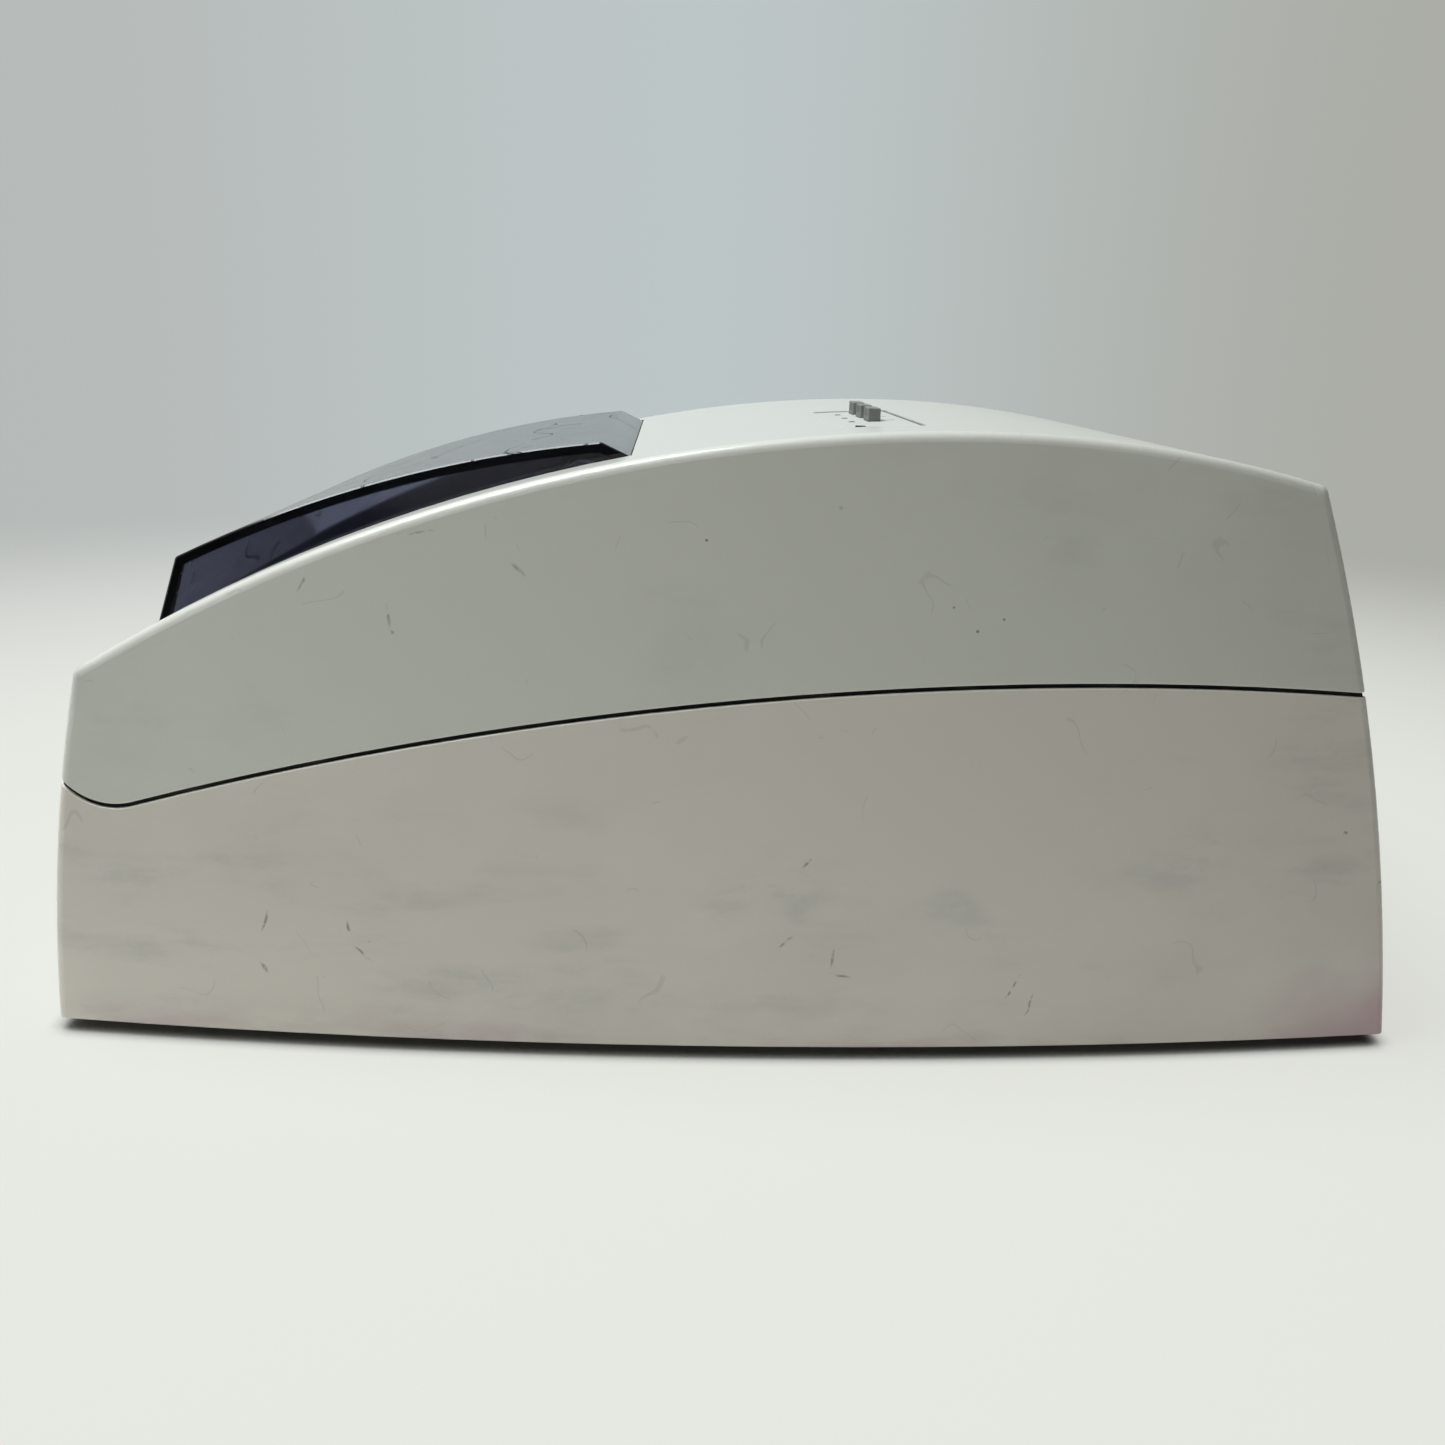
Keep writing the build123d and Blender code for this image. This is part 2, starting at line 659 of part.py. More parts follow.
with BuildPart() as platen_heater:
    with BuildSketch(Plane.XY.offset(heater_bottom)):
        with Locations((0, block_y)):
            RectangleRounded(2 * spring_x - 2 * spring_radius - 4, platen_y_size - 8, 3)
    extrude(amount=heater_thickness)
    with BuildSketch(Plane.XY.offset(heater_top)):
        with Locations((0, block_y)):
            Rectangle(30, 8)
    extrude(amount=1.5)
platen_heater.part.label = "platen_heater"
export_step(platen_heater.part, "parts/platen_heater.step")

with BuildPart() as platen_guide_pins:
    with BuildSketch(Plane.XY.offset(heater_bottom)):
        with Locations((0, block_y)):
            with GridLocations(2 * pin_x, 2 * pin_y, 2, 2):
                Circle(pin_radius)
    extrude(amount=backing_bottom + backing_thickness + 2 - heater_bottom)
platen_guide_pins.part.label = "platen_guide_pins"
export_step(platen_guide_pins.part, "parts/platen_guide_pins.step")

# Four short pressure springs between the platen and the plate above it.
spring_span = backing_bottom - heater_bottom
turn_pitch = spring_span / 4
with BuildPart() as platen_springs:
    with BuildSketch(Plane.XY.offset(heater_bottom)):
        with Locations((0, block_y)):
            with GridLocations(2 * spring_x, 2 * pin_y, 2, 2):
                Circle(spring_radius)
                Circle(spring_radius - spring_wire, mode=Mode.SUBTRACT)
    extrude(amount=spring_span)
    for turn in range(1, 4):
        with BuildSketch(Plane.XY.offset(heater_bottom + turn * turn_pitch)):
            with Locations((0, block_y)):
                with GridLocations(2 * spring_x, 2 * pin_y, 2, 2):
                    Circle(spring_radius + 1)
                    Circle(spring_radius - spring_wire / 2, mode=Mode.SUBTRACT)
        extrude(amount=spring_wire / 2, mode=Mode.SUBTRACT)
platen_springs.part.label = "platen_springs"
export_step(platen_springs.part, "parts/platen_springs.step")

arm_front_y = -92.0
with BuildPart() as lid_hinge_arms:
    for x in (-arm_inner_x - arm_thickness, arm_inner_x):
        with BuildSketch(Plane.YZ.offset(x)):
            with BuildLine():
                arm_mid_y = middle(arm_front_y, cover_rear_y)
                ThreePointArc(
                    (arm_front_y, roof_z(arm_front_y, cover_depth)),
                    (arm_mid_y, roof_z(arm_mid_y, cover_depth)),
                    (cover_rear_y, roof_z(cover_rear_y, cover_depth)),
                )
                Polyline(
                    (cover_rear_y, roof_z(cover_rear_y, cover_depth)),
                    (hinge_y, hinge_z + hinge_boss_radius),
                    (hinge_y, hinge_z - hinge_boss_radius),
                    (arm_front_y, roof_z(arm_front_y, cover_depth) - 8),
                    (arm_front_y, roof_z(arm_front_y, cover_depth)),
                )
            make_face()
            with Locations((hinge_y, hinge_z)):
                Circle(hinge_boss_radius)
                Circle(bore_radius, mode=Mode.SUBTRACT)
        extrude(amount=arm_thickness)
lid_hinge_arms.part.label = "lid_hinge_arms"
export_step(lid_hinge_arms.part, "parts/lid_hinge_arms.step")

bracket_x = arm_inner_x + arm_thickness + hinge_gap
bracket_half_width = 8.0
bracket_rear = hinge_boss_radius    # the hood's rim swings close behind the brackets
with BuildPart() as hinge_brackets:
    for x in (-bracket_x - bracket_thickness, bracket_x):
        with BuildSketch(Plane.YZ.offset(x)):
            with Locations((hinge_y + (bracket_rear - bracket_half_width) / 2, middle(deck_top, hinge_z))):
                Rectangle(bracket_rear + bracket_half_width, hinge_z - deck_top)
            with Locations((hinge_y, hinge_z)):
                Circle(hinge_boss_radius)
            with BuildLine():
                Polyline(
                    (hinge_y - bracket_half_width, hinge_z),
                    (hinge_y - bracket_half_width, hinge_z + 5),
                    (hinge_y - hinge_boss_radius, hinge_z + 5),
                    (hinge_y - hinge_boss_radius, hinge_z),
                    close=True,
                )
            make_face(mode=Mode.SUBTRACT)
            with Locations((hinge_y, hinge_z)):
                Circle(hinge_pin_radius, mode=Mode.SUBTRACT)
        extrude(amount=bracket_thickness)
    foot_inner = bracket_x - 12
    for x in (-bracket_x, foot_inner):
        add(slab(x, x + 12, hinge_y - bracket_half_width, hinge_y + bracket_half_width, deck_top, deck_top + 3))
hinge_brackets.part.label = "hinge_brackets"
export_step(hinge_brackets.part, "parts/hinge_brackets.step")

with BuildPart() as hinge_pins:
    for x in (-bracket_x - bracket_thickness, arm_inner_x - 1.5):
        with BuildSketch(hinge_line.offset(x)):
            Circle(hinge_pin_radius)
        extrude(amount=bracket_thickness + hinge_gap + arm_thickness + 1.5)
    for x in (-arm_inner_x + 0.3, arm_inner_x - 1.5):
        with BuildSketch(hinge_line.offset(x)):
            Circle(hinge_pin_radius + 1.4)
        extrude(amount=1.2)
hinge_pins.part.label = "hinge_pins"
export_step(hinge_pins.part, "parts/hinge_pins.step")

# ================================================================ deck, sample block, heat sink

deck_half_inner = opening_half_width + 0.4
deck_half_outer = deck_half_inner + 2.5
deck_front_y = opening_front_y + 0.5
deck_rear_y = hinge_y + bracket_half_width + 8
tub_rear_y = housing_rear_y + 5
deck_post_x = max(deck_half_inner - post_radius, sink_x_size / 2 + post_gap + post_radius)
deck_ledge = max(deck_half_outer, deck_post_x + post_radius)

with BuildPart() as sample_deck:
    add(under_roof(deck_front_y, tub_rear_y, deck_bottom, wall, deck_half_outer))
    add(under_roof(deck_front_y + 2.5, tub_rear_y - 2.5, deck_top, 0, deck_half_inner), mode=Mode.SUBTRACT)
    add(slab(-deck_half_inner, deck_half_inner, tub_rear_y - 4, tub_rear_y + 1, hinge_z - swing_radius - 6,
             crest_z), mode=Mode.SUBTRACT)
    add(slab(-deck_half_outer, deck_half_outer, tub_rear_y - 2.5, deck_rear_y, deck_bottom, deck_top))
    if deck_ledge > deck_half_outer:
        add(slab(-deck_ledge, deck_ledge, deck_front_y, deck_rear_y, deck_bottom, deck_top))
    add(slab(-block_x_size / 2 - deck_clearance, block_x_size / 2 + deck_clearance,
             block_y - block_y_size / 2 - deck_clearance, block_y + block_y_size / 2 + deck_clearance,
             deck_bottom, deck_top), mode=Mode.SUBTRACT)
sample_deck.part.label = "sample_deck"
export_step(sample_deck.part, "parts/sample_deck.step")

with BuildPart() as sample_block:
    with BuildSketch(Plane.XY.offset(block_bottom)):
        with Locations((0, block_y)):
            Rectangle(block_x_size, block_y_size)
    extrude(amount=block_height)
    chamfer(sample_block.edges().filter_by(Axis.Z), length=3)
    with Locations((0, block_y, block_top)):
        with GridLocations(well_pitch, well_pitch, well_columns, well_rows):
            Cone(well_bottom_radius, well_top_radius, well_depth,
                 align=(Align.CENTER, Align.CENTER, Align.MAX), mode=Mode.SUBTRACT)
sample_block.part.label = "sample_block"
export_step(sample_block.part, "parts/sample_block.step")

with BuildPart() as peltier_modules:
    with BuildSketch(Plane.XY.offset(sink_top)):
        with Locations((0, block_y)):
            with GridLocations(peltier_pitch, peltier_pitch, 3, 2):
                Rectangle(peltier_size, peltier_size)
    extrude(amount=peltier_height)
peltier_modules.part.label = "peltier_modules"
export_step(peltier_modules.part, "parts/peltier_modules.step")

with BuildPart() as block_frame:
    with BuildSketch(Plane.XY.offset(sink_top)):
        with Locations((0, block_y)):
            RectangleRounded(block_x_size + 2 * frame_rim, block_y_size + 2 * frame_rim, 4)
            Rectangle(block_x_size + 1, block_y_size + 1, mode=Mode.SUBTRACT)
    extrude(amount=deck_bottom - sink_top)
block_frame.part.label = "block_frame"
export_step(block_frame.part, "parts/block_frame.step")

with BuildPart() as heat_sink:
    with BuildSketch(Plane.XY.offset(sink_bottom)):
        with Locations((0, block_y)):
            Rectangle(sink_x_size, sink_y_size)
    extrude(amount=sink_base)
    with BuildSketch(Plane.XY.offset(fin_bottom)):
        with Locations((0, block_y)):
            with GridLocations(fin_pitch, 0, fin_count, 1):
                Rectangle(fin_thickness, sink_y_size - 4)
    extrude(amount=fin_height)
heat_sink.part.label = "heat_sink"
export_step(heat_sink.part, "parts/heat_sink.step")

post_x = sink_x_size / 2 - post_radius - 1
post_y = sink_y_size / 2 - post_radius - 1
with BuildPart() as block_posts:
    with BuildSketch(Plane.XY.offset(base_level)):
        with Locations((0, block_y)):
            with GridLocations(2 * post_x, 2 * post_y, 2, 2):
                Circle(post_radius)
    extrude(amount=sink_bottom - base_level)
block_posts.part.label = "block_posts"
export_step(block_posts.part, "parts/block_posts.step")

deck_post_front = deck_front_y + post_radius + 1
with BuildPart() as deck_posts:
    with BuildSketch(Plane.XY.offset(base_level)):
        with Locations((-deck_post_x, deck_post_front), (deck_post_x, deck_post_front),
                       (-deck_post_x, hinge_y), (deck_post_x, hinge_y)):
            Circle(post_radius)
    extrude(amount=deck_bottom - base_level)
deck_posts.part.label = "deck_posts"
export_step(deck_posts.part, "parts/deck_posts.step")

# ================================================================ fans


def fan_frame(plane, size, depth):
    """Square fan frame along the plane's normal, with its motor held on four struts."""
    hub = size * 0.19
    with BuildPart() as frame:
        with BuildSketch(plane):
            RectangleRounded(size, size, 3)
            Circle(size / 2 - 2, mode=Mode.SUBTRACT)
        extrude(amount=depth)
        with BuildSketch(plane):
            Circle(hub)
            Rectangle(size - 3, 3)
            Rectangle(3, size - 3)
        extrude(amount=3)
        with BuildSketch(plane):
            with GridLocations(size - 8, size - 8, 2, 2):
                Circle(size * 0.025)
        extrude(amount=depth, mode=Mode.SUBTRACT)
        with BuildSketch(plane.offset(1)):
            Circle(1.5 + hinge_running_gap)
        extrude(amount=2, mode=Mode.SUBTRACT)
    return frame.part


def fan_rotor(plane, size, depth, blades):
    """Hub with a shaft and pitched blades, clear of the frame by its running gap."""
    hub = size * 0.19
    tip = size / 2 - 3.2
    rise = depth - 8
    with BuildPart() as blade:
        with BuildSketch(Plane.XZ.offset(-hub + 2)):
            with Locations((0, 4 + rise / 2)):
                Rectangle(1.6, 1.45 * rise, rotation=38)
        extrude(amount=hub - 2 - tip)
    with BuildPart() as rotor:
        with BuildSketch(Plane.XY.offset(3.8)):
            Circle(hub)
        extrude(amount=depth - 5)
        with PolarLocations(0, blades):
            add(blade.part)
        with BuildSketch(Plane.XY.offset(3.8)):
            Circle(tip)
        extrude(amount=depth - 5, mode=Mode.INTERSECT)
        with BuildSketch(Plane.XY.offset(1.2)):
            Circle(1.5)
        extrude(amount=4)
    return plane.location * rotor.part


block_fan_plane = Plane(origin=(0, block_y, fan_bottom), x_dir=(1, 0, 0), z_dir=(0, 0, 1))
with BuildPart() as block_fan_frame:
    add(fan_frame(block_fan_plane, block_fan_size, block_fan_depth))
block_fan_frame.part.label = "block_fan_frame"
export_step(block_fan_frame.part, "parts/block_fan_frame.step")

with BuildPart() as block_fan_rotor:
    add(fan_rotor(block_fan_plane, block_fan_size, block_fan_depth, fan_blades))
block_fan_rotor.part.label = "block_fan_rotor"
export_step(block_fan_rotor.part, "parts/block_fan_rotor.step")

fan_inner_y = rear_panel_y - panel_thickness - rear_fan_depth
rear_fan_plane = Plane(origin=(rear_fan_x, fan_inner_y, rear_fan_z), x_dir=(-1, 0, 0), z_dir=(0, 1, 0))
with BuildPart() as rear_fan_frame:
    add(fan_frame(rear_fan_plane, rear_fan_size, rear_fan_depth))
rear_fan_frame.part.label = "rear_fan_frame"
export_step(rear_fan_frame.part, "parts/rear_fan_frame.step")

with BuildPart() as rear_fan_rotor:
    add(fan_rotor(rear_fan_plane, rear_fan_size, rear_fan_depth, fan_blades))
rear_fan_rotor.part.label = "rear_fan_rotor"
export_step(rear_fan_rotor.part, "parts/rear_fan_rotor.step")

# ================================================================ rear bay

panel_in = Plane(origin=(0, rear_panel_y, 0), x_dir=(1, 0, 0), z_dir=(0, -1, 0))
panel_half = bay_half_width + bay_rim
panel_z = middle(bay_bottom - bay_rim + 1, bay_top + bay_rim)
panel_height = bay_top + 2 * bay_rim - bay_bottom - 1
port_sizes = [(12.0, 11.0, 0.0), (19.0, 9.5, 22.0)]   # width, height, lift above the lower port

with BuildPart() as rear_panel:
    with BuildSketch(panel_in):
        with Locations((0, panel_z)):
            Rectangle(2 * panel_half, panel_height)
        with Locations((rear_fan_x, rear_fan_z)):
            Circle(rear_fan_size / 2 - 2, mode=Mode.SUBTRACT)
            with GridLocations(rear_fan_size - 8, rear_fan_size - 8, 2, 2):
                Circle(1.7, mode=Mode.SUBTRACT)
        with Locations((inlet_x, inlet_z)):
            Rectangle(inlet_width, inlet_height, mode=Mode.SUBTRACT)
        with Locations((switch_x, switch_z)):
            Rectangle(rocker_length + 6, 2 * rocker_radius + 5, mode=Mode.SUBTRACT)
        for width, height, lift in port_sizes:
            with Locations((ports_x, ports_z + lift)):
                Rectangle(width, height, mode=Mode.SUBTRACT)
        with Locations(*panel_screw_places):
            Circle(panel_screw_radius + 0.1, mode=Mode.SUBTRACT)
    extrude(amount=panel_thickness)
rear_panel.part.label = "rear_panel"
export_step(rear_panel.part, "parts/rear_panel.step")

guard_radius = rear_fan_size / 2 - 3
guard_bolt = (rear_fan_size - 8) / 2
tab_start = guard_radius - guard_wire / 2
tab_end = guard_bolt * sqrt(2) - guard_eyelet + 1
tab_place = middle(tab_start, tab_end) / sqrt(2)
with BuildPart() as fan_guard:
    with BuildSketch(Plane(origin=(rear_fan_x, rear_panel_y, rear_fan_z), x_dir=(-1, 0, 0), z_dir=(0, 1, 0))):
        for ring in (3, 2, 1, 0):
            radius = guard_eye + ring * (guard_radius - guard_eye) / 3
            Circle(radius)
            Circle(radius - guard_wire, mode=Mode.SUBTRACT)
        Rectangle(guard_wire, 2 * guard_radius, rotation=45)
        Rectangle(guard_wire, 2 * guard_radius, rotation=-45)
        with GridLocations(2 * guard_bolt, 2 * guard_bolt, 2, 2):
            Circle(guard_eyelet)
        with Locations((tab_place, tab_place), (-tab_place, -tab_place)):
            Rectangle(tab_end - tab_start, guard_wire, rotation=45)
        with Locations((tab_place, -tab_place), (-tab_place, tab_place)):
            Rectangle(tab_end - tab_start, guard_wire, rotation=-45)
        with GridLocations(2 * guard_bolt, 2 * guard_bolt, 2, 2):
            Circle(1.7, mode=Mode.SUBTRACT)
    extrude(amount=guard_wire)
fan_guard.part.label = "fan_guard"
export_step(fan_guard.part, "parts/fan_guard.step")

drawer_z = inlet_z - inlet_height / 2 + 2.5 + drawer_height / 2
socket_top = inlet_z + inlet_height / 2 - 2.5
socket_z = socket_top - socket_height / 2
socket_left = inlet_x - socket_width / 2
socket_right = inlet_x + socket_width / 2
flange_y = rear_panel_y + inlet_flange
out_face = Plane(origin=(0, flange_y, 0), x_dir=(1, 0, 0), z_dir=(0, -1, 0))

with BuildPart() as power_inlet:
    with BuildSketch(out_face):
        with Locations((inlet_x, inlet_z)):
            RectangleRounded(inlet_width + 5, inlet_height + 4, 2)
    extrude(amount=inlet_flange)
    with BuildSketch(panel_in):
        with Locations((inlet_x, inlet_z)):
            Rectangle(inlet_width, inlet_height)
    extrude(amount=inlet_depth - inlet_flange)
    with BuildSketch(out_face):
        with BuildLine():
            Polyline(
                (socket_left, socket_z - socket_height / 2),
                (socket_right, socket_z - socket_height / 2),
                (socket_right, socket_top - socket_chamfer),
                (socket_right - socket_chamfer, socket_top),
                (socket_left + socket_chamfer, socket_top),
                (socket_left, socket_top - socket_chamfer),
                close=True,
            )
        make_face()
    extrude(amount=socket_depth, mode=Mode.SUBTRACT)
    with BuildSketch(out_face):
        with Locations((inlet_x, drawer_z)):
            Rectangle(drawer_width + 2 * drawer_clearance, drawer_height + 2 * drawer_clearance)
    extrude(amount=drawer_depth + drawer_clearance, mode=Mode.SUBTRACT)
    with BuildSketch(out_face.offset(socket_depth)):
        with Locations((inlet_x - 7, socket_z - 2), (inlet_x + 7, socket_z - 2), (inlet_x, socket_z + 2.5)):
            Rectangle(2, 4)
    extrude(amount=-10)
power_inlet.part.label = "power_inlet"
export_step(power_inlet.part, "parts/power_inlet.step")

with BuildPart() as fuse_drawer:
    with BuildSketch(out_face):
        with Locations((inlet_x, drawer_z)):
            Rectangle(drawer_width, drawer_height)
    extrude(amount=drawer_depth)
    with BuildSketch(out_face.offset(-1.2)):
        with Locations((inlet_x, drawer_z)):
            Rectangle(drawer_width - 8, 2)
    extrude(amount=1.2)
    with BuildSketch(Plane.XY.offset(drawer_z + drawer_height / 2)):
        with Locations((inlet_x, flange_y - drawer_depth / 2 - 1)):
            Rectangle(drawer_width - 2, drawer_depth - 6)
    extrude(amount=-4.5, mode=Mode.SUBTRACT)
fuse_drawer.part.label = "fuse_drawer"
export_step(fuse_drawer.part, "parts/fuse_drawer.step")

with BuildPart() as fuse:
    with BuildSketch(Plane.YZ.offset(inlet_x - 10)):
        with Locations((flange_y - drawer_depth / 2 - 1, drawer_z + drawer_height / 2 - 2.6)):
            Circle(1.9)
    extrude(amount=20)
fuse.part.label = "fuse"
export_step(fuse.part, "parts/fuse.step")

pivot_y = rear_panel_y - 2
rocker_gap = 0.3
with BuildPart() as switch_frame:
    with BuildSketch(out_face):
        with Locations((switch_x, switch_z)):
            RectangleRounded(rocker_length + 9, 2 * rocker_radius + 8, 2)
    extrude(amount=inlet_flange)
    with BuildSketch(panel_in):
        with Locations((switch_x, switch_z)):
            Rectangle(rocker_length + 6, 2 * rocker_radius + 5)
    extrude(amount=16)
    with BuildSketch(out_face):
        with Locations((switch_x, switch_z)):
            Rectangle(rocker_length + 2 * rocker_gap, 2 * rocker_radius + 2 * rocker_gap)
    extrude(amount=flange_y - pivot_y + rocker_radius + rocker_gap, mode=Mode.SUBTRACT)
    with BuildSketch(Plane.YZ.offset(switch_x - rocker_length / 2 - 2)):
        with Locations((pivot_y, switch_z)):
            Circle(1.2)
    extrude(amount=rocker_length + 4)
switch_frame.part.label = "switch_frame"
export_step(switch_frame.part, "parts/switch_frame.step")

# The rocker is a round section about its pivot pin, with two flats that meet in a shallow valley. At rest
# the lower flat is upright and the upper one stands out.
swing = 2 * rocker_radius
with BuildPart() as power_rocker:
    with BuildSketch(Plane.YZ.offset(switch_x - rocker_length / 2)):
        with Locations((pivot_y, switch_z)):
            Circle(rocker_radius)
        with BuildLine():
            Polyline(
                (pivot_y + rocker_valley, switch_z),
                (pivot_y + rocker_valley + swing * sin(radians(2 * rocker_tilt)), switch_z + swing),
                (pivot_y + 2 * swing, switch_z + swing),
                (pivot_y + 2 * swing, switch_z - swing),
                (pivot_y + rocker_valley, switch_z - swing),
                close=True,
            )
        make_face(mode=Mode.SUBTRACT)
        with Locations((pivot_y, switch_z)):
            Circle(1.2 + hinge_running_gap, mode=Mode.SUBTRACT)
    extrude(amount=rocker_length)
power_rocker.part.label = "power_rocker"
export_step(power_rocker.part, "parts/power_rocker.step")

with BuildPart() as data_ports:
    for width, height, lift in port_sizes:
        with BuildSketch(panel_in.offset(-1)):
            with Locations((ports_x, ports_z + lift)):
                Rectangle(width, height)
        extrude(amount=15)
    with BuildSketch(panel_in.offset(-1)):
        with Locations((ports_x, ports_z)):
            Rectangle(8.4, 7.6)
            Rectangle(5.6, 3.2, mode=Mode.SUBTRACT)
        with Locations((ports_x, ports_z + 22)):
            with Locations((0, 1.4)):
                with GridLocations(2.7, 0, 5, 1):
                    Circle(0.6)
            with Locations((0, -1.4)):
                with GridLocations(2.7, 0, 4, 1):
                    Circle(0.6)
    extrude(amount=9, mode=Mode.SUBTRACT)
data_ports.part.label = "data_ports"
export_step(data_ports.part, "parts/data_ports.step")

with BuildPart() as panel_screws:
    add(screws(panel_screw_plane, panel_screw_places, panel_screw_radius, panel_thickness + panel_screw_bite,
               2 * panel_screw_radius, 1.6))
panel_screws.part.label = "panel_screws"
export_step(panel_screws.part, "parts/panel_screws.step")

# ================================================================ lid catch

catch_x = 46.0
catch_y = middle(cover_front_y + 1, housing_front_y - 2)
magnet_radius = 3.0
magnet_height = 3.0
catch_gap = 0.4
catch_z = deck_top + 8.0
boss_half = 3.4

with BuildPart() as catch_bosses:
    for x in (-catch_x, catch_x):
        add(slab(x - boss_half, x + boss_half, catch_y - boss_half, catch_y + boss_half,
                 catch_z + catch_gap + magnet_height, crest_z))
    add(under_roof(catch_y - 2 * boss_half, catch_y + 2 * boss_half, deck_top, cover_depth, hood_half_width),
        mode=Mode.INTERSECT)
catch_bosses.part.label = "catch_bosses"
export_step(catch_bosses.part, "parts/catch_bosses.step")

with BuildPart() as lid_magnets:
    with BuildSketch(Plane.XY.offset(catch_z + catch_gap)):
        with Locations((-catch_x, catch_y), (catch_x, catch_y)):
            Circle(magnet_radius)
    extrude(amount=magnet_height)
lid_magnets.part.label = "lid_magnets"
export_step(lid_magnets.part, "parts/lid_magnets.step")

with BuildPart() as strike_posts:
    with BuildSketch(Plane.XY.offset(deck_top)):
        with Locations((-catch_x, catch_y), (catch_x, catch_y)):
            Circle(magnet_radius)
    extrude(amount=catch_z - deck_top)
    chamfer(strike_posts.edges().group_by(Axis.Z)[-1], length=0.4)
strike_posts.part.label = "strike_posts"
export_step(strike_posts.part, "parts/strike_posts.step")

# ================================================================ keys

with BuildPart() as key_frame:
    add(roof_band(key_frame_y0, key_frame_y1, key_frame_step, key_frame_step + key_frame_thickness,
                  key_frame_x0, key_frame_x1))
    with BuildSketch(Plane.XY.offset(key_board_top)):
        with Locations(*[(x, key_y) for x in key_spots]):
            Rectangle(key_length + 2 * key_clearance, key_width + 2 * key_clearance)
        with Locations((lens_x, lens_y)):
            Circle(lens_radius)
    extrude(amount=crest_z, mode=Mode.SUBTRACT)
key_frame.part.label = "key_frame"
export_step(key_frame.part, "parts/key_frame.step")

key_top = roof_z(key_y) + key_rise
flange_top = roof_z(key_frame_y0, wall) - key_clearance
for name, x in zip(("left", "middle", "right"), key_spots):
    with BuildPart() as key_cap:
        with BuildSketch(Plane.XY.offset(flange_top)):
            with Locations((x, key_y)):
                Rectangle(key_length, key_width)
        extrude(amount=key_top - flange_top)
        fillet(key_cap.edges().group_by(Axis.Z)[-1], radius=0.4)
        with BuildSketch(Plane.XY.offset(flange_top)):
            with Locations((x, key_y)):
                Rectangle(key_length + 3, key_width + 3)
        extrude(amount=-key_flange)
        with BuildSketch(Plane.XZ.offset(-key_y + key_width / 2)):
            with Locations((x, key_top - 1.6)):
                with GridLocations(1.6, 0, 6, 1):
                    Rectangle(0.6, 2.2)
        extrude(amount=-0.25, mode=Mode.SUBTRACT)
    key_cap.part.label = "key_" + name
    export_step(key_cap.part, "parts/key_" + name + ".step")

with BuildPart() as status_lens:
    with BuildSketch(Plane.XY.offset(key_board_top)):
        with Locations((lens_x, lens_y)):
            Circle(lens_radius)
    extrude(amount=roof_z(lens_y) - key_board_top)
status_lens.part.label = "status_lens"
export_step(status_lens.part, "parts/status_lens.step")

switch_height = flange_top - key_flange - key_travel - 0.2 - key_board_top
with BuildPart() as key_board:
    with BuildSketch(Plane.XY.offset(key_board_top - board_thickness)):
        with Locations((key_board_x, key_board_y)):
            Rectangle(key_frame_x1 - key_frame_x0 - 2, key_frame_y1 - key_frame_y0)
    extrude(amount=board_thickness)
    for x in key_spots:
        add(slab(x - 3, x + 3, key_y - 3, key_y + 3, key_board_top, key_board_top + switch_height - 1))
        add(slab(x - 1.5, x + 1.5, key_y - 1.5, key_y + 1.5, key_board_top, key_board_top + switch_height))
    add(slab(key_first_x - 8, key_first_x + 14, key_frame_y0 + 1, key_frame_y0 + 5,
             key_board_top - board_thickness - 5, key_board_top - board_thickness))
key_board.part.label = "key_board"
export_step(key_board.part, "parts/key_board.step")

# ================================================================ electronics

supply_x1 = supply_x0 + supply_x_size
supply_y1 = supply_y0 + supply_y_size
with BuildPart() as power_supply:
    add(slab(supply_x0, supply_x1, supply_y0, supply_y1, base_level, base_level + supply_height))
    fillet(power_supply.edges().filter_by(Axis.Y).group_by(Axis.Z)[-1], radius=1.5)
    with BuildSketch(Plane.XY.offset(base_level + supply_height)):
        with Locations((middle(supply_x0, supply_x1), middle(supply_y0, supply_y1))):
            with GridLocations(10, 10, 6, 10):
                RegularPolygon(3.2, 6)
    extrude(amount=-1.5, mode=Mode.SUBTRACT)
    with BuildSketch(Plane.XZ.offset(-supply_y0)):
        with Locations((middle(supply_x0, supply_x1), base_level + supply_height / 2)):
            with GridLocations(9, 0, 6, 1):
                Rectangle(6.5, 12)
    extrude(amount=-4, mode=Mode.SUBTRACT)
power_supply.part.label = "power_supply"
export_step(power_supply.part, "parts/power_supply.step")

board_x1 = board_x0 + board_x_size
board_y1 = board_y0 + board_y_size
board_centre = (middle(board_x0, board_x1), middle(board_y0, board_y1))
with BuildPart() as board_standoffs:
    with BuildSketch(Plane.XY.offset(base_level)):
        with Locations(board_centre):
            with GridLocations(board_x_size - 10, board_y_size - 10, 2, 2):
                Circle(standoff_radius)
    extrude(amount=standoff_height)
    with BuildSketch(Plane.XY.offset(board_top)):
        with Locations(board_centre):
            with GridLocations(board_x_size - 10, board_y_size - 10, 2, 2):
                Circle(standoff_radius)
    extrude(amount=driver_lift - board_thickness)
board_standoffs.part.label = "board_standoffs"
export_step(board_standoffs.part, "parts/board_standoffs.step")

with BuildPart() as main_board:
    with BuildSketch(Plane.XY.offset(board_z)):
        with Locations(board_centre):
            Rectangle(board_x_size, board_y_size)
    extrude(amount=board_thickness)
main_board.part.label = "main_board"
export_step(main_board.part, "parts/main_board.step")

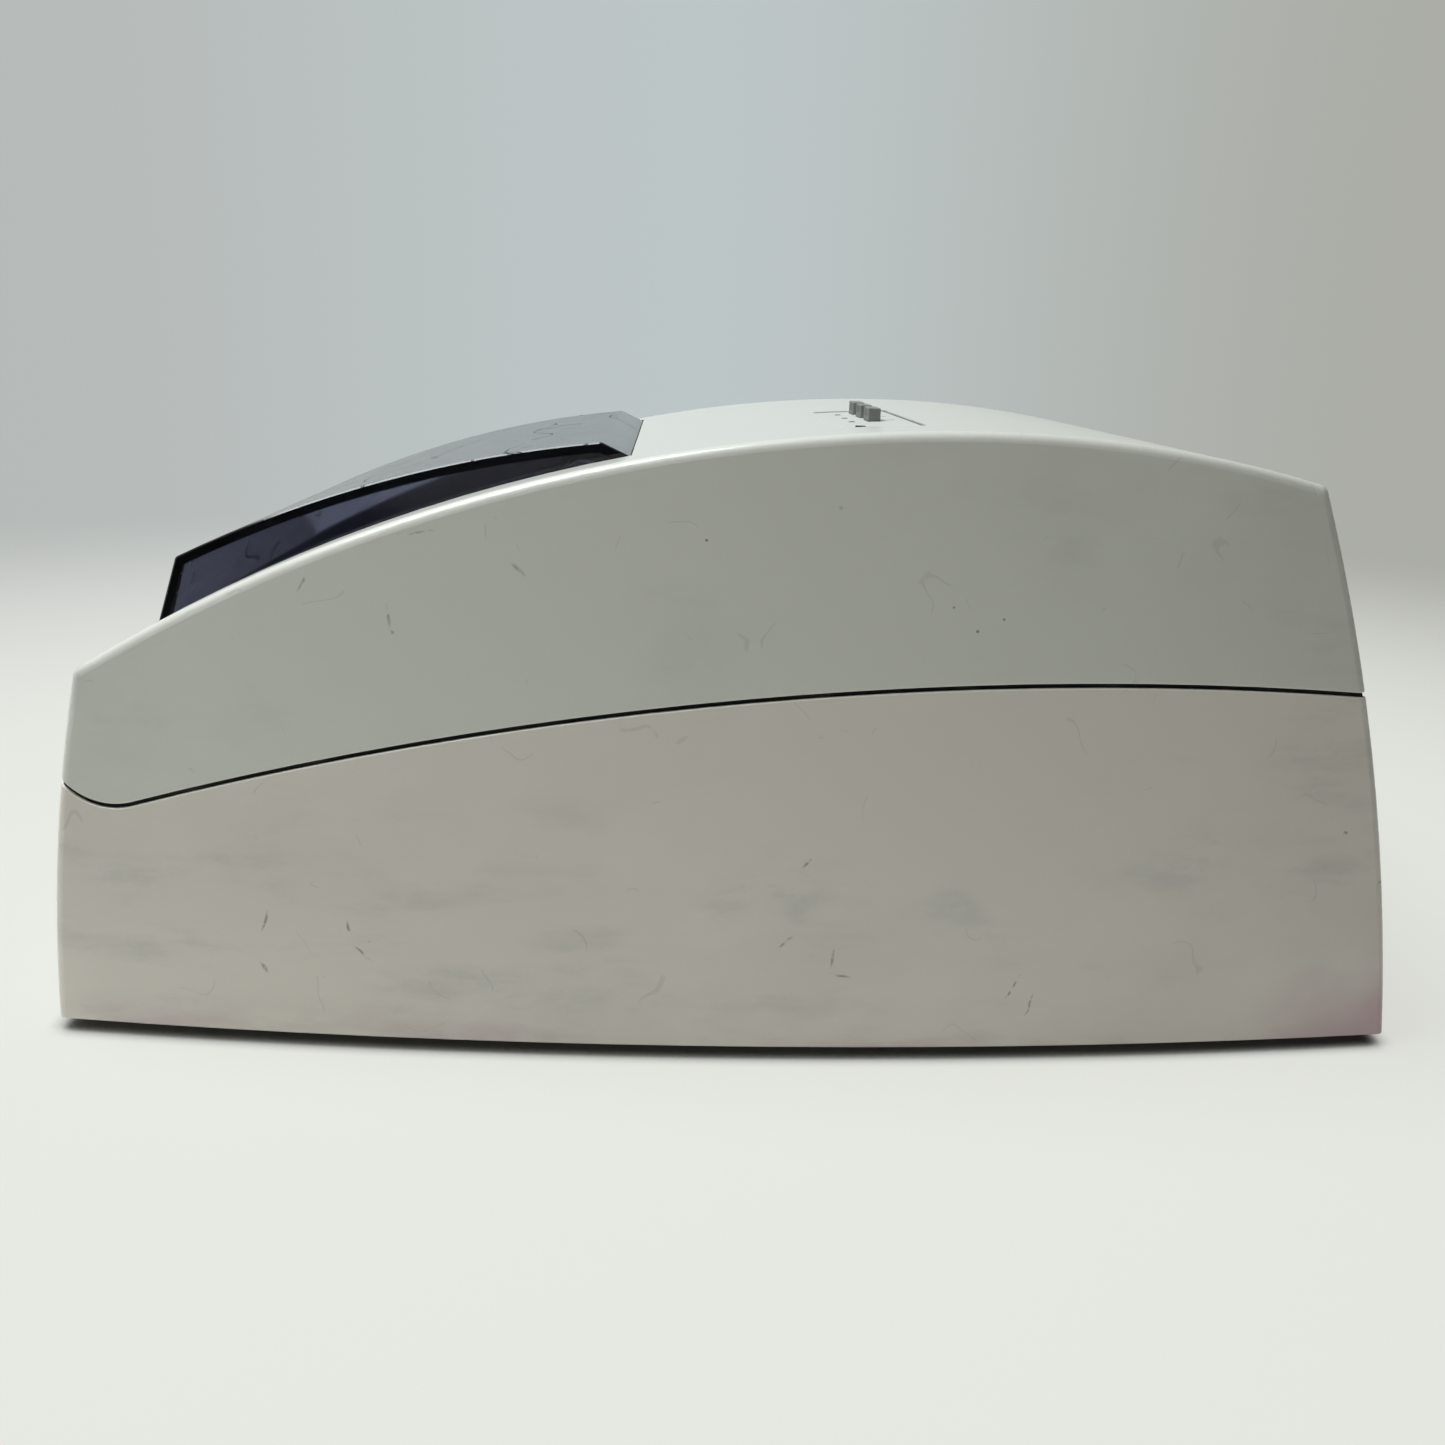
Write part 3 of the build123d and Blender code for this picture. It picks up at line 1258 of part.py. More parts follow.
chips = [(22, 20, 14, 14, 2), (22, 50, 20, 8, 3), (50, 30, 10, 20, 2), (60, 70, 26, 18, 9),
         (24, 84, 16, 16, 12), (50, 110, 30, 12, 10), (22, 122, 12, 22, 6), (64, 12, 18, 8, 7)]
with BuildPart() as board_parts:
    for x, y, width, depth, height in chips:
        add(slab(board_x0 + x - width / 2, board_x0 + x + width / 2, board_y0 + y - depth / 2,
                 board_y0 + y + depth / 2, board_top, board_top + height))
    with BuildSketch(Plane.XY.offset(board_top)):
        with Locations((board_x0 + 40, board_y0 + 90), (board_x0 + 40, board_y0 + 74)):
            Circle(4)
        with Locations((board_x0 + 76, board_y0 + 100)):
            Circle(4)
    extrude(amount=14)
board_parts.part.label = "board_parts"
export_step(board_parts.part, "parts/board_parts.step")

driver_z = board_z + driver_lift
with BuildPart() as driver_board:
    with BuildSketch(Plane.XY.offset(driver_z)):
        with Locations(board_centre):
            Rectangle(board_x_size, board_y_size)
    extrude(amount=board_thickness)
    fins_x = board_centre[0] - 20
    add(slab(fins_x - 14, fins_x + 14, board_y0 + 20, board_y0 + 110, driver_z + board_thickness,
             driver_z + board_thickness + 4))
    with BuildSketch(Plane.XY.offset(driver_z + board_thickness + 4)):
        with Locations((fins_x, board_y0 + 65)):
            with GridLocations(5, 0, 6, 1):
                Rectangle(1.2, 90)
    extrude(amount=16)
    for y in (30, 55, 80):
        add(slab(board_x1 - 30, board_x1 - 12, board_y0 + y, board_y0 + y + 14, driver_z + board_thickness,
                 driver_z + board_thickness + 11))
driver_board.part.label = "driver_board"
export_step(driver_board.part, "parts/driver_board.step")

# Flat cable from the driver board up to the key board.
cable_thickness = 0.9
cable_x = key_first_x - 8
cable_y = key_frame_y0 + 3
cable_low_z = driver_z + board_thickness + cable_thickness / 2
cable_high_z = key_board_top - board_thickness - 5 - cable_thickness / 2
with BuildPart() as key_cable:
    with BuildSketch(Plane.YZ.offset(cable_x + 2)):
        with BuildLine() as route:
            FilletPolyline(
                (cable_y, cable_high_z),
                (cable_y, cable_high_z - 20),
                (board_y0 + 4, cable_low_z + 40),
                (board_y0 + 4, cable_low_z),
                radius=12,
            )
            offset(amount=cable_thickness / 2, side=Side.BOTH)
        make_face()
    extrude(amount=18)
key_cable.part.label = "key_cable"
export_step(key_cable.part, "parts/key_cable.step")

# Two stiff bundled leads from the supply, along the base plate, to the block.
with BuildPart() as power_leads:
    for x in (supply_x0 + 20, supply_x0 + 34):
        lead_z = base_level + 8
        with BuildLine() as lead:
            FilletPolyline(
                (x, supply_y0, lead_z),
                (x, supply_y0 - 22, lead_z),
                (x, supply_y0 - 22, sink_bottom + 4),
                (x, block_y + sink_y_size / 2, sink_bottom + 4),
                radius=9,
            )
        with BuildSketch(Plane(origin=(x, supply_y0, lead_z), z_dir=(0, -1, 0))):
            Circle(2.6)
        sweep(path=lead.line)
power_leads.part.label = "power_leads"
export_step(power_leads.part, "parts/power_leads.step")
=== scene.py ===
import json
import math

import bpy
from mathutils import Matrix, Vector


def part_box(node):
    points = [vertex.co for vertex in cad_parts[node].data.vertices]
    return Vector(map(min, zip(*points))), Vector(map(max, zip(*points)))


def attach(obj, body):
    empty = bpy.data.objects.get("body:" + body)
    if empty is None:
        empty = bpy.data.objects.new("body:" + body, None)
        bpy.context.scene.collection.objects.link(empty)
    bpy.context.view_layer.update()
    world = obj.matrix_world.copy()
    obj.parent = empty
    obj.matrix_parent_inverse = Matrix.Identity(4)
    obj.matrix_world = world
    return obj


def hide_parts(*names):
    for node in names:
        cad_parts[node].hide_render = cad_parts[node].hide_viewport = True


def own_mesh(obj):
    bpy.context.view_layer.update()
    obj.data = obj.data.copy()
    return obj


bl_info = {
    "name": "Bench thermal cycler",
    "version": (1, 0, 0),
    "blender": (4, 5, 0),
    "location": "3D View > Sidebar > Cycler",
    "description": "Finishes and fine pieces of a bench thermal cycler on its CAD frame",
    "category": "Object",
}

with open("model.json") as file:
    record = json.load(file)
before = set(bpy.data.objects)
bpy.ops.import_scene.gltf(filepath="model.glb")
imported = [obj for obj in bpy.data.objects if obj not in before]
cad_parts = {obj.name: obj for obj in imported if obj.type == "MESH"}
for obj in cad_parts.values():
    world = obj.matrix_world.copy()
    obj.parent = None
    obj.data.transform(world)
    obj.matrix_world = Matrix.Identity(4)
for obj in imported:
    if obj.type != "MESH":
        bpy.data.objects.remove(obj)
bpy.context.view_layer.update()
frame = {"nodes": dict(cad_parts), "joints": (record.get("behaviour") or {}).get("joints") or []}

# Corners of the hood's profile in the YZ plane, and the width of the painted black band where its walls are
# seen edge-on
HOOD_FRONT_TOP = Vector((-0.1605, 0.1369))
HOOD_MIDDLE_TOP = Vector((-0.097, 0.1613))
HOOD_REAR_TOP = Vector((-0.0415, 0.172))
HOOD_REAR_BOTTOM = Vector((-0.0334, 0.1683))
HOOD_FRONT_SLOPE = 0.3243
HOOD_REAR_SLOPE = 2.189
HOOD_EDGE = 0.0026

CAMERA_PLACE = (0.49614, -0.02215, 0.20121)
CAMERA_HEADING = 90 - 2.356
CAMERA_TILT = 90 - 14.912
CAMERA_ROLL = 1.793


def shade(red, green, blue):
    """A display colour, 0 to 255 a channel, as the linear colour that a shader takes."""
    linear = []
    for level in (red, green, blue):
        level /= 255
        linear.append(level / 12.92 if level <= 0.04045 else ((level + 0.055) / 1.055) ** 2.4)
    return (*linear, 1.0)


def toned(colour, share):
    """A colour with its three channels multiplied by share."""
    return (*(min(1, level * share) for level in colour[:3]), 1.0)


# ---------------------------------------------------------------- finishes


class Signal:
    """One socket of a finish. Arithmetic on it adds Math nodes."""

    def __init__(self, finish, socket):
        self.finish = finish
        self.socket = socket

    def maths(self, operation, *values):
        return self.finish.node("ShaderNodeMath", {"operation": operation}, dict(enumerate(values)))

    def __add__(self, other):
        return self.maths("ADD", self, other)

    def __sub__(self, other):
        return self.maths("SUBTRACT", self, other)

    def __rsub__(self, other):
        return self.maths("SUBTRACT", other, self)

    def __mul__(self, other):
        return self.maths("MULTIPLY", self, other)

    def __abs__(self):
        return self.maths("ABSOLUTE", self)

    def __or__(self, other):
        return self.maths("MAXIMUM", self, other)

    __radd__ = __add__
    __rmul__ = __mul__


class Finish:
    """A material, and the patterns that are drawn on it in the object's own metres."""

    def __init__(self, name, holder=None):
        self.material = holder or bpy.data.materials.new(name)
        self.material.use_nodes = True
        self.tree = self.material.node_tree
        self.tree.nodes.clear()
        self.spot = self.node("ShaderNodeTexCoord", output="Object")

    def node(self, kind, settings=None, values=None, output=0):
        node = self.tree.nodes.new(kind)
        for name, value in (settings or {}).items():
            setattr(node, name, value)
        for name, value in (values or {}).items():
            if isinstance(value, Signal):
                self.tree.links.new(value.socket, node.inputs[name])
            else:
                node.inputs[name].default_value = value
        return Signal(self, node.outputs[output]) if len(node.outputs) else None

    def moved(self, place=(0, 0, 0), turn=(0, 0, 0), size=(1, 1, 1), warp=0.0, warp_scale=60.0):
        """Coordinates centred on a place, turned and scaled so that size becomes 1."""
        source = self.spot
        if warp:
            wander = self.node("ShaderNodeTexNoise", {}, {"Vector": self.spot, "Scale": warp_scale}, "Color")
            middle = (0.5, 0.5, 0.5)
            wander = self.node("ShaderNodeVectorMath", {"operation": "SUBTRACT"}, {0: wander, 1: middle})
            wander = self.node("ShaderNodeVectorMath", {"operation": "SCALE"}, {0: wander, "Scale": warp})
            source = self.node("ShaderNodeVectorMath", {"operation": "ADD"}, {0: self.spot, 1: wander})
        return self.node(
            "ShaderNodeMapping",
            {"vector_type": "TEXTURE"},
            {"Vector": source, "Location": place, "Rotation": turn, "Scale": size},
        )

    def axis(self, name, where=None):
        return self.node("ShaderNodeSeparateXYZ", {}, {"Vector": where or self.spot}, name)

    def facing(self, name):
        """One part of the surface's own normal."""
        normal = self.node("ShaderNodeTexCoord", output="Normal")
        return self.node("ShaderNodeSeparateXYZ", {}, {"Vector": normal}, name)

    def noise(self, scale, detail=4.0, rough=0.55, stretch=(1, 1, 1), place=(0, 0, 0)):
        where = self.moved(place, size=stretch)
        return self.node(
            "ShaderNodeTexNoise", {}, {"Vector": where, "Scale": scale, "Detail": detail, "Roughness": rough}
        )

    def cells(self, scale, feature="F1", output="Distance", stretch=(1, 1, 1)):
        where = self.moved(size=stretch)
        values = {"Vector": where, "Scale": scale}
        return self.node("ShaderNodeTexVoronoi", {"feature": feature}, values, output)

    def rise(self, value, low, high):
        """0 below low, 1 above high, smooth between them."""
        return self.node(
            "ShaderNodeMapRange",
            {"interpolation_type": "SMOOTHSTEP"},
            {"Value": value, "From Min": low, "From Max": high},
        )

    def blob(self, place, size, turn=0.0, soft=0.5, warp=0.0, warp_scale=60.0):
        """1 inside an ellipse on the side face and 0 outside it. turn is in degrees about X."""
        where = self.moved(place, (math.radians(turn), 0, 0), (0.03, *size), warp, warp_scale)
        far = self.node("ShaderNodeVectorMath", {"operation": "LENGTH"}, {0: where}, "Value")
        return 1 - self.rise(far, 1 - soft, 1.0)

    def mix(self, amount, under, over):
        return self.node("ShaderNodeMix", {"data_type": "RGBA"}, {0: amount, 6: under, 7: over}, 2)

    def bump(self, height, depth, strength=1.0, normal=None):
        values = {"Height": height, "Distance": depth, "Strength": strength}
        if normal:
            values["Normal"] = normal
        return self.node("ShaderNodeBump", {}, values)

    def shader(self, **values):
        """A surface shader. Underscores in the names stand for spaces."""
        named = {name.replace("_", " "): value for name, value in values.items()}
        return self.node("ShaderNodeBsdfPrincipled", {}, named)

    def close(self, shader):
        self.node("ShaderNodeOutputMaterial", {}, {"Surface": shader})
        return self.material

    def surface(self, **values):
        return self.close(self.shader(**values))


def coat(material, *nodes):
    """Gives CAD nodes a finish."""
    for name in nodes:
        mesh = frame["nodes"][name].data
        mesh.materials.clear()
        mesh.materials.append(material)


def hairlines(finish, scale, width, cover, stretch=(1, 1, 1), place=(0, 0, 0)):
    """Fine curved scratches, broken up so that only a share of the surface carries them."""
    lines = abs(finish.noise(scale, 1.5, 0.4, stretch, place) - 0.5)
    lines = 1 - finish.rise(lines, width * 0.35, width)
    patches = finish.noise(scale * 1.7, 2.0, 0.5, (1, 1, 1), (place[0] + 0.3, 0.1, 0))
    return lines * finish.rise(patches, cover, cover + 0.05)


def moulded(name, colour, roughness=0.5, grain=0.00006, worn=0.06, gloss=0.5):
    """Moulded plastic: fine spark grain, faint handling marks."""
    finish = Finish(name)
    cloud = finish.noise(35, 5)
    dark = toned(colour, 1 - worn * 3)
    light = tuple(min(1, c * (1 + worn * 2) + 0.004) for c in colour[:3]) + (1.0,)
    tone = finish.mix(finish.rise(cloud, 0.3, 0.7), dark, light)
    rub = hairlines(finish, 22, 0.012, 0.56)
    tone = finish.mix(rub * 0.25, tone, light)
    pits = finish.noise(2600, 2)
    return finish.surface(
        Base_Color=tone,
        Roughness=roughness + (cloud - 0.5) * 0.22 + rub * 0.08,
        Specular_IOR_Level=gloss,
        Normal=finish.bump(pits, grain, 0.6),
    )


def milled(name, colour, roughness=0.32, stretch=(1, 0.02, 1), scale=900, depth=0.00002):
    """Metal with fine lines of machining or drawing along one axis, and dull patches."""
    finish = Finish(name)
    lines = finish.noise(scale, 3, 0.6, stretch)
    cloud = finish.noise(40, 4)
    dark = toned(colour, 0.72)
    tone = finish.mix(lines * 0.45 + cloud * 0.35, dark, colour)
    return finish.surface(
        Base_Color=tone,
        Metallic=1.0,
        Roughness=roughness + (cloud - 0.5) * 0.25 + lines * 0.1,
        Normal=finish.bump(lines, depth, 0.5),
    )


def galvanised(name, colour):
    """Zinc-coated sheet with its spangle."""
    finish = Finish(name)
    flakes = finish.cells(170, output="Color")
    flake = finish.node("ShaderNodeSeparateColor", {}, {"Color": flakes})
    cloud = finish.noise(30, 4)
    tone = finish.mix(flake * 0.6 + cloud * 0.3, toned(colour, 0.7), colour)
    return finish.surface(Base_Color=tone, Metallic=0.9, Roughness=0.3 + flake * 0.18 + cloud * 0.08)


def rubber(name, colour):
    """Matt rubber with dust in its pores."""
    finish = Finish(name)
    pores = finish.noise(1500, 3)
    dust = finish.rise(finish.noise(60, 5, 0.65), 0.5, 0.75)
    tone = finish.mix(dust * 0.35, colour, shade(96, 95, 92))
    rough = 0.74 + dust * 0.15
    return finish.surface(Base_Color=tone, Roughness=rough, Normal=finish.bump(pores, 0.00008, 0.5))


def powder_coat(name, colour):
    """Powder-coated sheet: orange peel, a few rubbed places."""
    finish = Finish(name)
    peel = finish.noise(900, 2)
    cloud = finish.noise(25, 5)
    tone = finish.mix(finish.rise(cloud, 0.35, 0.7) * 0.4, colour, toned(colour, 0.8))
    scuff = hairlines(finish, 26, 0.012, 0.55)
    tone = finish.mix(scuff * 0.4, tone, shade(120, 120, 116))
    rough = 0.42 + cloud * 0.15
    return finish.surface(Base_Color=tone, Roughness=rough, Normal=finish.bump(peel, 0.00008, 0.5))


def circuit(name, mask, copper, scale=260):
    """Solder mask with tracks under it, vias and faint flux."""
    finish = Finish(name)
    tracks = finish.node(
        "ShaderNodeTexBrick",
        {"offset": 0.37, "squash": 1.0},
        {"Vector": finish.spot, "Scale": scale, "Mortar Size": 0.06, "Brick Width": 1.7, "Row Height": 0.33},
        "Fac",
    )
    areas = finish.rise(finish.noise(55, 2), 0.47, 0.5)
    vias = 1 - finish.rise(finish.cells(420), 0.16, 0.2)
    tone = finish.mix(tracks * areas * 0.8, mask, toned(mask, 1.9))
    tone = finish.mix(vias * (1 - areas), tone, copper)
    flux = finish.noise(90, 4)
    return finish.surface(
        Base_Color=tone,
        Roughness=0.28 + flux * 0.2,
        Coat_Weight=0.3,
        Normal=finish.bump(tracks * areas, 0.00004, 0.4),
    )


# ---------------------------------------------------------------- settings


def colour_property(name, description, value):
    return bpy.props.FloatVectorProperty(
        name=name, description=description, subtype="COLOR", size=4, min=0, max=1, default=value
    )


class CyclerCaseSettings(bpy.types.PropertyGroup):
    upper: colour_property("Upper shell", "Paint of the upper shell", shade(223, 222, 214))
    lower: colour_property("Lower shell", "Paint of the lower shell, warm with age", shade(231, 223, 213))
    # grime_and_shade also scales the painted shade at the upper shell's front edge.
    grime_and_shade: bpy.props.FloatProperty(
        name="Grime", description="Strength of smudges, scuffs and stains", default=1.0, min=0, max=2,
        subtype="FACTOR",
    )


class CyclerLidSettings(bpy.types.PropertyGroup):
    smoke: colour_property("Hood", "Tint of one wall of the smoked hood", shade(166, 168, 184))
    cover: colour_property("Inner cover", "Cover under the hood", shade(14, 24, 40))
    clearness: bpy.props.FloatProperty(
        name="Clearness", description="How far the hood's sheet is see-through", default=1.0, min=0, max=1,
        subtype="FACTOR",
    )
    spring_wire: bpy.props.FloatProperty(
        name="Spring wire", description="Wire of the pressure springs", default=0.0007, unit="LENGTH",
        subtype="DISTANCE",
    )


class CyclerKeySettings(bpy.types.PropertyGroup):
    key: colour_property("Keys", "Plastic of the three keys", shade(138, 140, 136))
    film: colour_property("Key field", "Film around the keys", shade(208, 209, 204))
    ink: colour_property("Print", "Ink of the marks at the keys", shade(62, 66, 67))
    mark_length: bpy.props.FloatProperty(
        name="Mark length", description="Length of the marks in front of the keys", default=0.0042,
        unit="LENGTH", subtype="DISTANCE",
    )


class CyclerStageSettings(bpy.types.PropertyGroup):
    floor: colour_property("Floor", "Paper under the cycler", shade(231, 232, 226))
    far: colour_property("Backdrop", "Tone that the floor runs into", shade(189, 198, 199))
    lens: bpy.props.FloatProperty(
        name="Lens", description="Focal length on a 36 mm frame", default=36.05, unit="CAMERA"
    )


# ---------------------------------------------------------------- operators


class CYCLER_OT_case(bpy.types.Operator):
    """Paints the two shells and finishes the seal, feet, plate and screws"""

    bl_idname = "cycler.case"
    bl_label = "Case"

    def execute(self, context):
        chosen = context.scene.cycler_case
        coat(self.paint("upper_paint", chosen.upper, chosen.grime_and_shade, self.upper_marks), "upper_shell")
        coat(self.paint("lower_paint", chosen.lower, chosen.grime_and_shade, self.lower_marks), "lower_shell")
        coat(rubber("seal_rubber", shade(16, 17, 18)), "seam_gasket")
        coat(rubber("foot_rubber", shade(30, 30, 31)), "rubber_feet")
        coat(galvanised("base_zinc", shade(186, 190, 192)), "base_plate")
        coat(milled("screw_steel", shade(150, 152, 156)), "foot_screws", "case_screws", "panel_screws")
        return {"FINISHED"}

    def paint(self, name, colour, grime_and_shade, marks):
        """Satin paint with handling film, hair scratches and each shell's own marks, with painted shade at the
        upper shell's front edge.
        """
        finish = Finish(name)
        film = finish.noise(11, 5, 0.6, (1, 1.6, 1))
        streak = finish.noise(60, 5, 0.65, (1, 3.2, 0.8), (0.1, 0.2, 0.3))
        side = finish.rise(abs(finish.facing("X")), 0.45, 0.8)
        dull = toned(colour, 0.93)
        tone = finish.mix(finish.rise(film, 0.42, 0.66) * side * grime_and_shade, tuple(colour), dull)
        smear = finish.rise(streak, 0.5, 0.74) * finish.rise(film, 0.44, 0.62) * side
        tone = finish.mix(smear * (0.34 * grime_and_shade), tone, shade(178, 177, 172))
        lines = hairlines(finish, 42, 0.006, 0.6) * side
        tone = finish.mix(lines * (0.17 * grime_and_shade), tone, shade(132, 130, 124))
        tone = marks(finish, tone, grime_and_shade, side)
        specks = 1 - finish.rise(finish.cells(95), 0.035, 0.055)
        specks = specks * finish.rise(finish.noise(40, 2), 0.6, 0.62)
        tone = finish.mix(specks * (0.7 * grime_and_shade), tone, shade(96, 92, 84))
        fine = finish.noise(1900, 2)
        return finish.surface(
            Base_Color=tone,
            Roughness=0.42 + film * 0.12 + smear * 0.12,
            Coat_Weight=0.6,
            Coat_Roughness=0.16,
            Normal=finish.bump(fine, 0.00003, 0.35),
        )

    def upper_marks(self, finish, tone, grime_and_shade, side):
        scuffs = [
            ((0.115, -0.098, 0.1255), (0.0008, 0.0042), 8),
            ((0.112, -0.0972, 0.1214), (0.0013, 0.0008), 0),
            ((0.115, -0.0885, 0.1478), (0.0048, 0.0005), 6),
            ((0.115, -0.0625, 0.139), (0.0008, 0.0036), 38),
            ((0.115, -0.121, 0.134), (0.0006, 0.0040), -28),
            ((0.113, 0.024, 0.158), (0.0011, 0.0007), -30),
            ((0.112, 0.098, 0.132), (0.0009, 0.0009), 0),
        ]
        dry = finish.rise(finish.noise(420, 4, 0.6), 0.36, 0.6)
        for place, size, turn in scuffs:
            scuff = finish.blob(place, size, turn, 0.8, 0.003, 110) * dry
            tone = finish.mix(scuff * (0.62 * grime_and_shade), tone, shade(104, 106, 102))
        haze = finish.blob((0.11, 0.15, 0.13), (0.055, 0.045), 20, 0.9, 0.03, 25)
        tone = finish.mix(haze * (0.35 * grime_and_shade), tone, shade(214, 206, 198))
        # Painted shade: a darker grey patch at the front edge of the upper side, where the corner fillet turns
        # away from the light.
        front = finish.blob((0.1, -0.19, 0.108), (0.008, 0.02), 0, 0.9, 0.01, 40)
        return finish.mix(front * (0.4 * grime_and_shade), tone, shade(170, 171, 170))

    def lower_marks(self, finish, tone, grime_and_shade, side):
        patches = [
            ((0.115, 0.012, 0.049), (0.034, 0.014), 8, 0.34),
            ((0.115, 0.062, 0.043), (0.030, 0.010), -6, 0.3),
            ((0.11, -0.136, 0.058), (0.018, 0.012), 25, 0.22),
            ((0.105, -0.176, 0.048), (0.014, 0.020), 60, 0.34),
            ((0.11, 0.128, 0.058), (0.030, 0.013), 0, 0.26),
            ((0.115, -0.055, 0.018), (0.05, 0.008), 0, 0.3),
            ((0.11, 0.115, 0.088), (0.022, 0.006), 12, 0.22),
        ]
        smear = finish.rise(finish.noise(95, 7, 0.72, (1, 2.4, 0.8)), 0.36, 0.66)
        for place, size, turn, depth in patches:
            smudge = finish.blob(place, size, turn, 0.95, 0.03, 40) * smear
            tone = finish.mix(smudge * (depth * grime_and_shade), tone, shade(172, 177, 180))
        strokes = [
            ((0.11, -0.1345, 0.037), (0.0006, 0.0042), -22),
            ((0.11, -0.1352, 0.0235), (0.0007, 0.0024), 28),
            ((0.112, -0.1105, 0.0365), (0.0005, 0.0032), 12),
            ((0.112, -0.1065, 0.0285), (0.0006, 0.0050), 50),
            ((0.118, 0.0135, 0.0355), (0.0006, 0.0034), -60),
            ((0.118, 0.0265, 0.0315), (0.0006, 0.0040), -12),
            ((0.118, 0.029, 0.0262), (0.0042, 0.0005), -10),
            ((0.115, 0.0795, 0.0215), (0.0005, 0.0060), -30),
            ((0.115, 0.0850, 0.0165), (0.0005, 0.0042), -20),
            ((0.118, 0.019, 0.0585), (0.0026, 0.0006), 50),
            ((0.108, 0.1905, 0.0515), (0.0011, 0.0009), 0),
            ((0.108, 0.1765, 0.0665), (0.0009, 0.0008), 0),
        ]
        dry = finish.rise(finish.noise(420, 4, 0.6), 0.36, 0.6)
        for place, size, turn in strokes:
            stroke = finish.blob(place, size, turn, 0.7, 0.004, 95) * dry
            tone = finish.mix(stroke * (0.66 * grime_and_shade), tone, shade(104, 104, 104))
        height = finish.axis("Z")
        along = finish.axis("Y")
        patchy = finish.rise(finish.noise(45, 4, 0.6, (1, 3, 1)), 0.42, 0.62)
        edge = (1 - finish.rise(height, 0.004, 0.017)) * patchy
        tone = finish.mix(edge * side * (0.4 * grime_and_shade), tone, shade(188, 158, 168))
        corner = finish.blob((0.105, 0.197, 0.008), (0.048, 0.027), 0, 0.95, 0.03, 40)
        tone = finish.mix(corner * (0.62 * grime_and_shade), tone, shade(198, 148, 168))
        blush = finish.rise(along, 0.0, 0.2) * finish.rise(finish.noise(14, 3), 0.4, 0.65) * side
        return finish.mix(blush * (0.22 * grime_and_shade), tone, shade(214, 190, 190))


